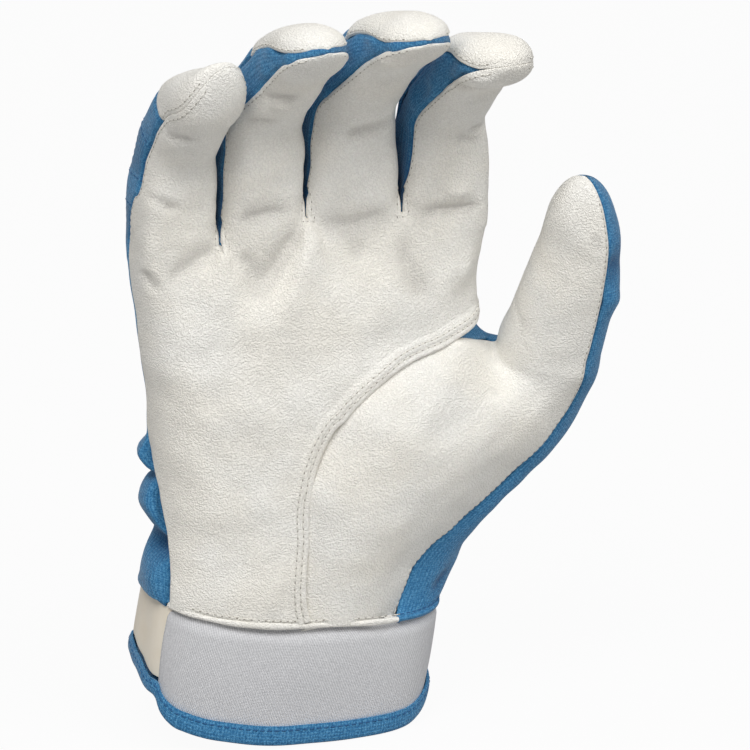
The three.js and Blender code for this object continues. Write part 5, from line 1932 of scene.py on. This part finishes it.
@dataclass
class Cuff:
    """Cuff: elastic band, cream strap with its pads, blue ends and the binding round the hem."""

    width: float = 83.4
    depth: float = 50.0
    height: float = WRIST_HEIGHT
    lean: float = 5.4
    sheet: float = 1.5
    hem_points: tuple[Pair, ...] = (
        (-160, 18), (-138, 19), (-98, 20.5), (-90, 18.8), (-82, 16.6), (-76, 15.6), (-69, 15), (-66, 14.1),
        (-62, 11.3), (-58, 9.6), (-55, 8.6), (-49, 7), (-43, 6.1), (-30, 4.2), (-20, 3), (0, 0.4), (20, 0),
        (34, 0), (45, 0.5), (55, 2), (62, 3.6), (68, 5.2), (75, 6.4), (95, 8.5), (130, 12), (160, 15),
        (210, 18),
    )
    rows: int = 30
    column_turn: float = 1.6
    ripple: Ripple = Ripple(22, 0.2, 41)
    band: Pair = (-69.0, 112.0)
    band_swell: float = 0.5
    band_tuck: float = 1.5
    band_tuck_from: Pair = (0.86, 0.98)
    edge_radius: float = 0.7
    side_out: float = -1.7
    side_stock: float = 1.0
    back_out: float = -0.3
    strap_root: float = -98.0
    root_out: float = -1.5
    root_stock: float = 0.8
    root_lap: float = 3.0
    strap_clear: Pair = (0.4, 0.8)
    hinge_height: float = 20.0
    hinge_turn: float = 10.0
    slit: Pair = (-138.0, -156.0)
    strap_tip: float = -226.0
    strap_stock: float = 1.5
    strap_lift: Pair = (-0.4, 4.4)
    tip_turn: float = 12.0
    pad_span: float = 48
    pad_inset: float = 2.5
    pad_stock: float = 1.0
    pad_outs: Pair = (2.6, 1.3)
    binding_height: float = 6.0
    binding_drop: float = 1.7
    binding_drop_from: Pair = (45, 80)
    binding_flat: float = 0.38
    binding_fold: float = 0.9
    binding_puff: float = 0.35
    binding_stitch: float = 1.2
    binding_stock: float = 0.8
    welt_ripple: Ripple = Ripple(14, 0.12, 51)
    welt_end: float = 27.0
    welt_height: float = 1.7
    welt_rise: float = 0.75
    welt_stop: float = 289.0
    stitching: Stitching = Stitching()

    def ring(self, degrees: Array, height: Array, out: Array) -> Array:
        """Point of the cuff at an angle and a height, a distance out from the ring."""
        degrees, height, out = matched(degrees, height, out)
        across, front = section(degrees, WRIST_SQUARENESS)
        x = WRIST_LEFT - self.lean * (1 - height / self.height) + across * (self.width / 2 + out)
        return np.stack([x, -front * (self.depth / 2 + out), height], -1)

    def hem(self, degrees: Array) -> Array:
        """Height of the hem at an angle."""
        angles, heights = curve_through(self.hem_points)(np.linspace(0, 1, 240)).T
        return np.interp(degrees, angles, heights)

    def top(self, degrees: Array) -> Array:
        """Height of the wrist seam at an angle."""
        return wrist_at(section(degrees)[0]) - 0.2

    def tape(self, degrees: Array) -> Array:
        """Height of the binding's tape at an angle."""
        return self.binding_height - self.binding_drop * smooth(np.abs(degrees), *self.binding_drop_from)

    def ring_low(self, degrees: Array) -> Array:
        """Height of the ring's lower edge, inside the binding."""
        return self.hem(degrees) + 1.1

    def _swell(self, _: Array, up: Array) -> Array:
        """Distance of the band out from the ring: full in the middle, tucked in under the welt."""
        return self.band_swell * np.sin(np.pi * up) - self.band_tuck * smooth(up, *self.band_tuck_from)

    def _piece(self, name: str, node: str, span: Pair, low: Callable, high: Callable, out: Callable,
               stock: float, finish: Finish, follow: Follow = ON_HAND) -> None:
        """Builds a piece of the ring between two angles.

        Args:
            name: name of the piece.
            node: construction node that it stands for.
            span: angles of its two ends.
            low: height of its lower edge at an angle.
            high: height of its upper edge at an angle.
            out: distance out from the ring at an angle and a share up the piece.
            stock: thickness of the stock.
            finish: its finish.
            follow: what carries it.
        """
        count = max(8, int(abs(span[1] - span[0]) / self.column_turn))
        degrees = np.linspace(span[0], span[1], count + 1)[None, :]
        share = np.linspace(0, 1, self.rows + 1)[:, None]
        heights = mix(low(degrees), high(degrees), share)
        middle = math.radians((span[0] + span[1]) / 2)
        outward = RIGHT * math.sin(middle) - REAR * math.cos(middle)
        skin = Skin(self.ring(degrees, heights, out(degrees, share)), outward)
        edge = rolled(skin.from_left(), self.edge_radius) + rolled(skin.from_right(), self.edge_radius)
        skin.push(self.ripple(skin.points) - edge)
        dress(skin.panel(name, stock), finish, follow, [node])

    def build(self) -> None:
        """Builds the ring, the binding and the strap."""
        low, top, sheet = self.ring_low, self.top, self.sheet
        left, right = self.band
        self._piece("band_elastic", "wrist_band", self.band, low, top, self._swell, sheet, Finish.ELASTIC)
        self._piece("strap_root_cover", "strap_root", (self.strap_root, left + self.root_lap),
                    self.strap_low, self.strap_high, lambda *_: self.root_out, self.root_stock, Finish.STRAP)
        self._piece("cuff_side_knit", "cuff_side", (self.slit[0], left + 2), low, top,
                    lambda *_: self.side_out, self.side_stock, Finish.KNIT)
        self._piece("cuff_back_knit", "cuff_back", (right - 1, self.slit[1] + 360), low, top,
                    lambda *_: self.back_out, sheet, Finish.KNIT)
        self._binding()
        self._strap()
        self._welt()

    def _welt(self) -> None:
        """Lays the rolled edge along the wrist seam, leather and then knit, with its stitches."""
        turn = np.linspace(-np.pi / 2, np.pi / 2, 13)[None, :]
        runs = (
            ("wrist_welt", self.band[0] + 0.5, self.welt_end, Finish.LEATHER, Finish.WHITE_THREAD),
            ("wrist_welt_blue", self.welt_end, self.welt_stop, Finish.KNIT, Finish.BLUE_THREAD),
        )
        for name, start, end, finish, thread in runs:
            degrees = np.linspace(start, end, 150)[:, None]
            height = self.top(degrees) + self.welt_height / 2 * np.sin(turn)
            points = self.ring(degrees, height, self.welt_rise * np.cos(turn) - 0.1)
            skin = Skin(points, points * (1, 1, 0))
            skin.push(self.welt_ripple(skin.points))
            dress(skin.panel(name, 0.5), finish, ON_HAND)
            line = self.ring(degrees[:, 0], self.top(degrees[:, 0]) + self.welt_height / 2 + 0.7, 0.3)
            self.stitching.sew(f"{name}_stitches", line, self._facing(line), thread)

    @staticmethod
    def _facing(line: Array) -> Array:
        """Normals of the flattened ring along a line on it."""
        return unit(line * (1.0, 2.5, 0.0))

    def _binding(self) -> None:
        """Builds the tape folded over the hem."""
        degrees = np.linspace(self.slit[0], self.slit[1] + 360, 220)[None, :]
        turn = np.linspace(0, 1, 25)[:, None]
        high = self.tape(degrees)
        flat, fold = self.binding_flat, self.binding_fold
        arc = np.clip((turn - flat) / (1 - 2 * flat), 0, 1) * np.pi
        wide = self.sheet / 2 + 1.0
        front, inside = turn < flat, turn > 1 - flat
        out = np.where(front, wide, np.where(inside, -wide, wide * np.cos(arc)))
        rise = np.where(inside, mix(fold, high, (turn - 1 + flat) / flat), fold - fold * np.sin(arc))
        rise = np.where(front, mix(high, fold, turn / flat), rise)
        puff = self.binding_puff * np.sin(np.pi * np.clip(turn / 0.5, 0, 1)) * (turn < 0.5)
        skin = Skin(self.ring(degrees, self.hem(degrees) + rise, out - self.sheet / 2 + puff))
        if (skin.normals()[4] * (skin.points[4] - skin.points[-5])).sum() < 0:
            skin.points = skin.points[::-1]
        dress(skin.panel("hem_binding_tape", self.binding_stock), Finish.KNIT, ON_HAND, ["hem_binding"])
        around = degrees[0]
        height = self.hem(around) + high[0] - self.binding_stitch
        line = self.ring(around, height, wide - self.sheet / 2 + 0.2)
        self.stitching.sew("hem_binding_stitches", line, self._facing(line), Finish.BLUE_THREAD)

    def strap_low(self, degrees: Array) -> Array:
        """Height of the strap's lower edge."""
        return self.hem(degrees) + self.tape(degrees) + self.strap_clear[0]

    def strap_high(self, degrees: Array) -> Array:
        """Height of the strap's upper edge."""
        return self.top(degrees) - self.strap_clear[1]

    def _lift(self, degrees: Array, _: Array) -> Array:
        """Distance of the strap out from the ring: under the band at its root, over the slit at its end."""
        return mix(*self.strap_lift, smooth(-degrees, -self.strap_root, -self.slit[1]))

    def _tip_round(self, degrees: Array) -> Array:
        """How far the strap's edges draw in round its end."""
        share = np.clip((degrees - self.strap_tip) / self.tip_turn, 0, 1)
        half = (self.strap_high(degrees) - self.strap_low(degrees)) / 2
        return (1 - np.sqrt(1 - (1 - share) ** 2)) * half * 0.8

    def _strap(self) -> None:
        """Builds the closure strap and its pads."""
        low, high, inset = self.strap_low, self.strap_high, self.pad_inset
        root = self.ring(self.strap_root, self.hinge_height, 0.0)
        ahead = self.ring(self.strap_root - self.hinge_turn, self.hinge_height, 0.0)
        follow = Follow("hand", "strap", root, ahead)
        self._piece("closure_strap_cover", "closure_strap", (self.strap_tip, self.band[0] + self.root_lap),
                    lambda d: low(d) + self._tip_round(d), lambda d: high(d) - self._tip_round(d),
                    self._lift, self.strap_stock, Finish.STRAP, follow)
        start = self.strap_tip + self.tip_turn
        pads = (("hook_pad", Finish.HOOK, Follow("strap")), ("loop_pad", Finish.LOOP, ON_HAND))
        for (node, finish, carrier), out in zip(pads, self.pad_outs):
            self._piece(f"{node}_tape", node, (start, start + self.pad_span), lambda d: low(d) + inset,
                        lambda d: high(d) - inset, lambda *_: out, self.pad_stock, finish, carrier)


@dataclass(frozen=True)
class Studio:
    """White floor, soft lights and the camera of the photograph."""

    target: Point = (20.0, -10.0, 105.0)
    azimuth: float = -18.0
    elevation: float = 18.0
    distance: float = 2000.0
    frame_width: float = 207.75
    shift: Pair = (2.49, -3.32)
    sensor: float = 36.0
    floor_half: float = 3000.0
    floor_glow: float = 0.95
    lamp_size: float = 1.0
    world_level: float = 0.24
    key_power: float = 26.0
    fill_power: float = 15.5
    top_power: float = 2.0
    back_power: float = 4.0

    def build(self) -> None:
        """Builds the floor, the lights, the world and the camera."""
        self._floor()
        self._lights()
        self._camera()

    def _floor(self) -> None:
        """A wide pale floor under the hem."""
        corners = np.array([(-1.0, -1.0, 0.0), (1.0, -1.0, 0.0), (1.0, 1.0, 0.0), (-1.0, 1.0, 0.0)])
        floor = make_mesh("studio_floor", corners * self.floor_half, np.array([[0, 1, 2, 3]]))
        paper = Surface("studio_paper")
        paper.set(Base_Color=(0.5, 0.5, 0.5), Roughness=0.95, Specular_IOR_Level=0.0)
        seen = Value(paper, paper.node("LightPath").outputs["Is Camera Ray"])
        glow = paper.node("Emission", None, {"Color": (1.0, 1.0, 1.0), "Strength": 1.0})
        output = paper.tree.nodes["Material Output"]
        sockets = {0: seen * self.floor_glow, 1: paper.shader.outputs[0], 2: glow.outputs[0]}
        mixed = paper.node("MixShader", None, sockets)
        paper.tree.links.new(mixed.outputs[0], output.inputs[0])
        floor.data.materials.append(paper.material)

    def _lights(self) -> None:
        """Broad lights from the upper left, the right, above and behind, and an even white world."""
        world = bpy.data.worlds.new("studio_world")
        world.use_nodes = True
        bpy.context.scene.world = world
        background = world.node_tree.nodes["Background"]
        background.inputs["Color"].default_value = (1, 1, 1, 1)
        background.inputs["Strength"].default_value = self.world_level
        lamps = (
            ("key", (-0.75, -1.0, 1.8), self.key_power),
            ("fill", (0.75, -1.1, 1.55), self.fill_power),
            ("top", (0.1, 0.05, 2.0), self.top_power),
            ("back", (0.5, 1.6, 1.3), self.back_power),
        )
        for name, place, power in lamps:
            lamp = bpy.data.lights.new("studio_" + name, "AREA")
            lamp.energy = power
            lamp.size = self.lamp_size
            lit = bpy.data.objects.new("studio_" + name, lamp)
            bpy.context.scene.collection.objects.link(lit)
            aim = Vector(self.target) * MM - Vector(place)
            lit.matrix_world = Matrix.Translation(place) @ aim.to_track_quat("-Z", "Y").to_matrix().to_4x4()

    def _camera(self) -> None:
        """The camera, level, at the photograph's angle."""
        a, e = math.radians(self.azimuth), math.radians(self.elevation)
        back = Vector((math.sin(a) * math.cos(e), -math.cos(a) * math.cos(e), math.sin(e)))
        right = Vector((math.cos(a), math.sin(a), 0))
        up = back.cross(right)
        lens = bpy.data.cameras.new("studio_camera")
        lens.sensor_width = self.sensor
        lens.lens = self.sensor * self.distance / self.frame_width
        lens.clip_end = 20
        camera = bpy.data.objects.new("studio_camera", lens)
        bpy.context.scene.collection.objects.link(camera)
        place = (Vector(self.target) + back * self.distance + right * self.shift[0] + up * self.shift[1]) * MM
        turn = Matrix((right, up, back)).transposed().to_4x4()
        camera.matrix_world = Matrix.Translation(place) @ turn
        bpy.context.scene.camera = camera


def main() -> None:
    """Builds the glove and its studio."""
    logging.basicConfig(level=logging.INFO, format="%(message)s")
    bpy.context.scene.view_settings.view_transform = "Standard"
    fingers = place_fingers()
    palm = Palm()
    front = FrontLeather(fingers, palm)
    front.build()
    BackKnit(fingers, palm, front.hand.skin).build()
    Fourchettes(fingers).build()
    Thumb(palm).build()
    Cuff().build()
    Studio().build()


if __name__ == "__main__":
    main()
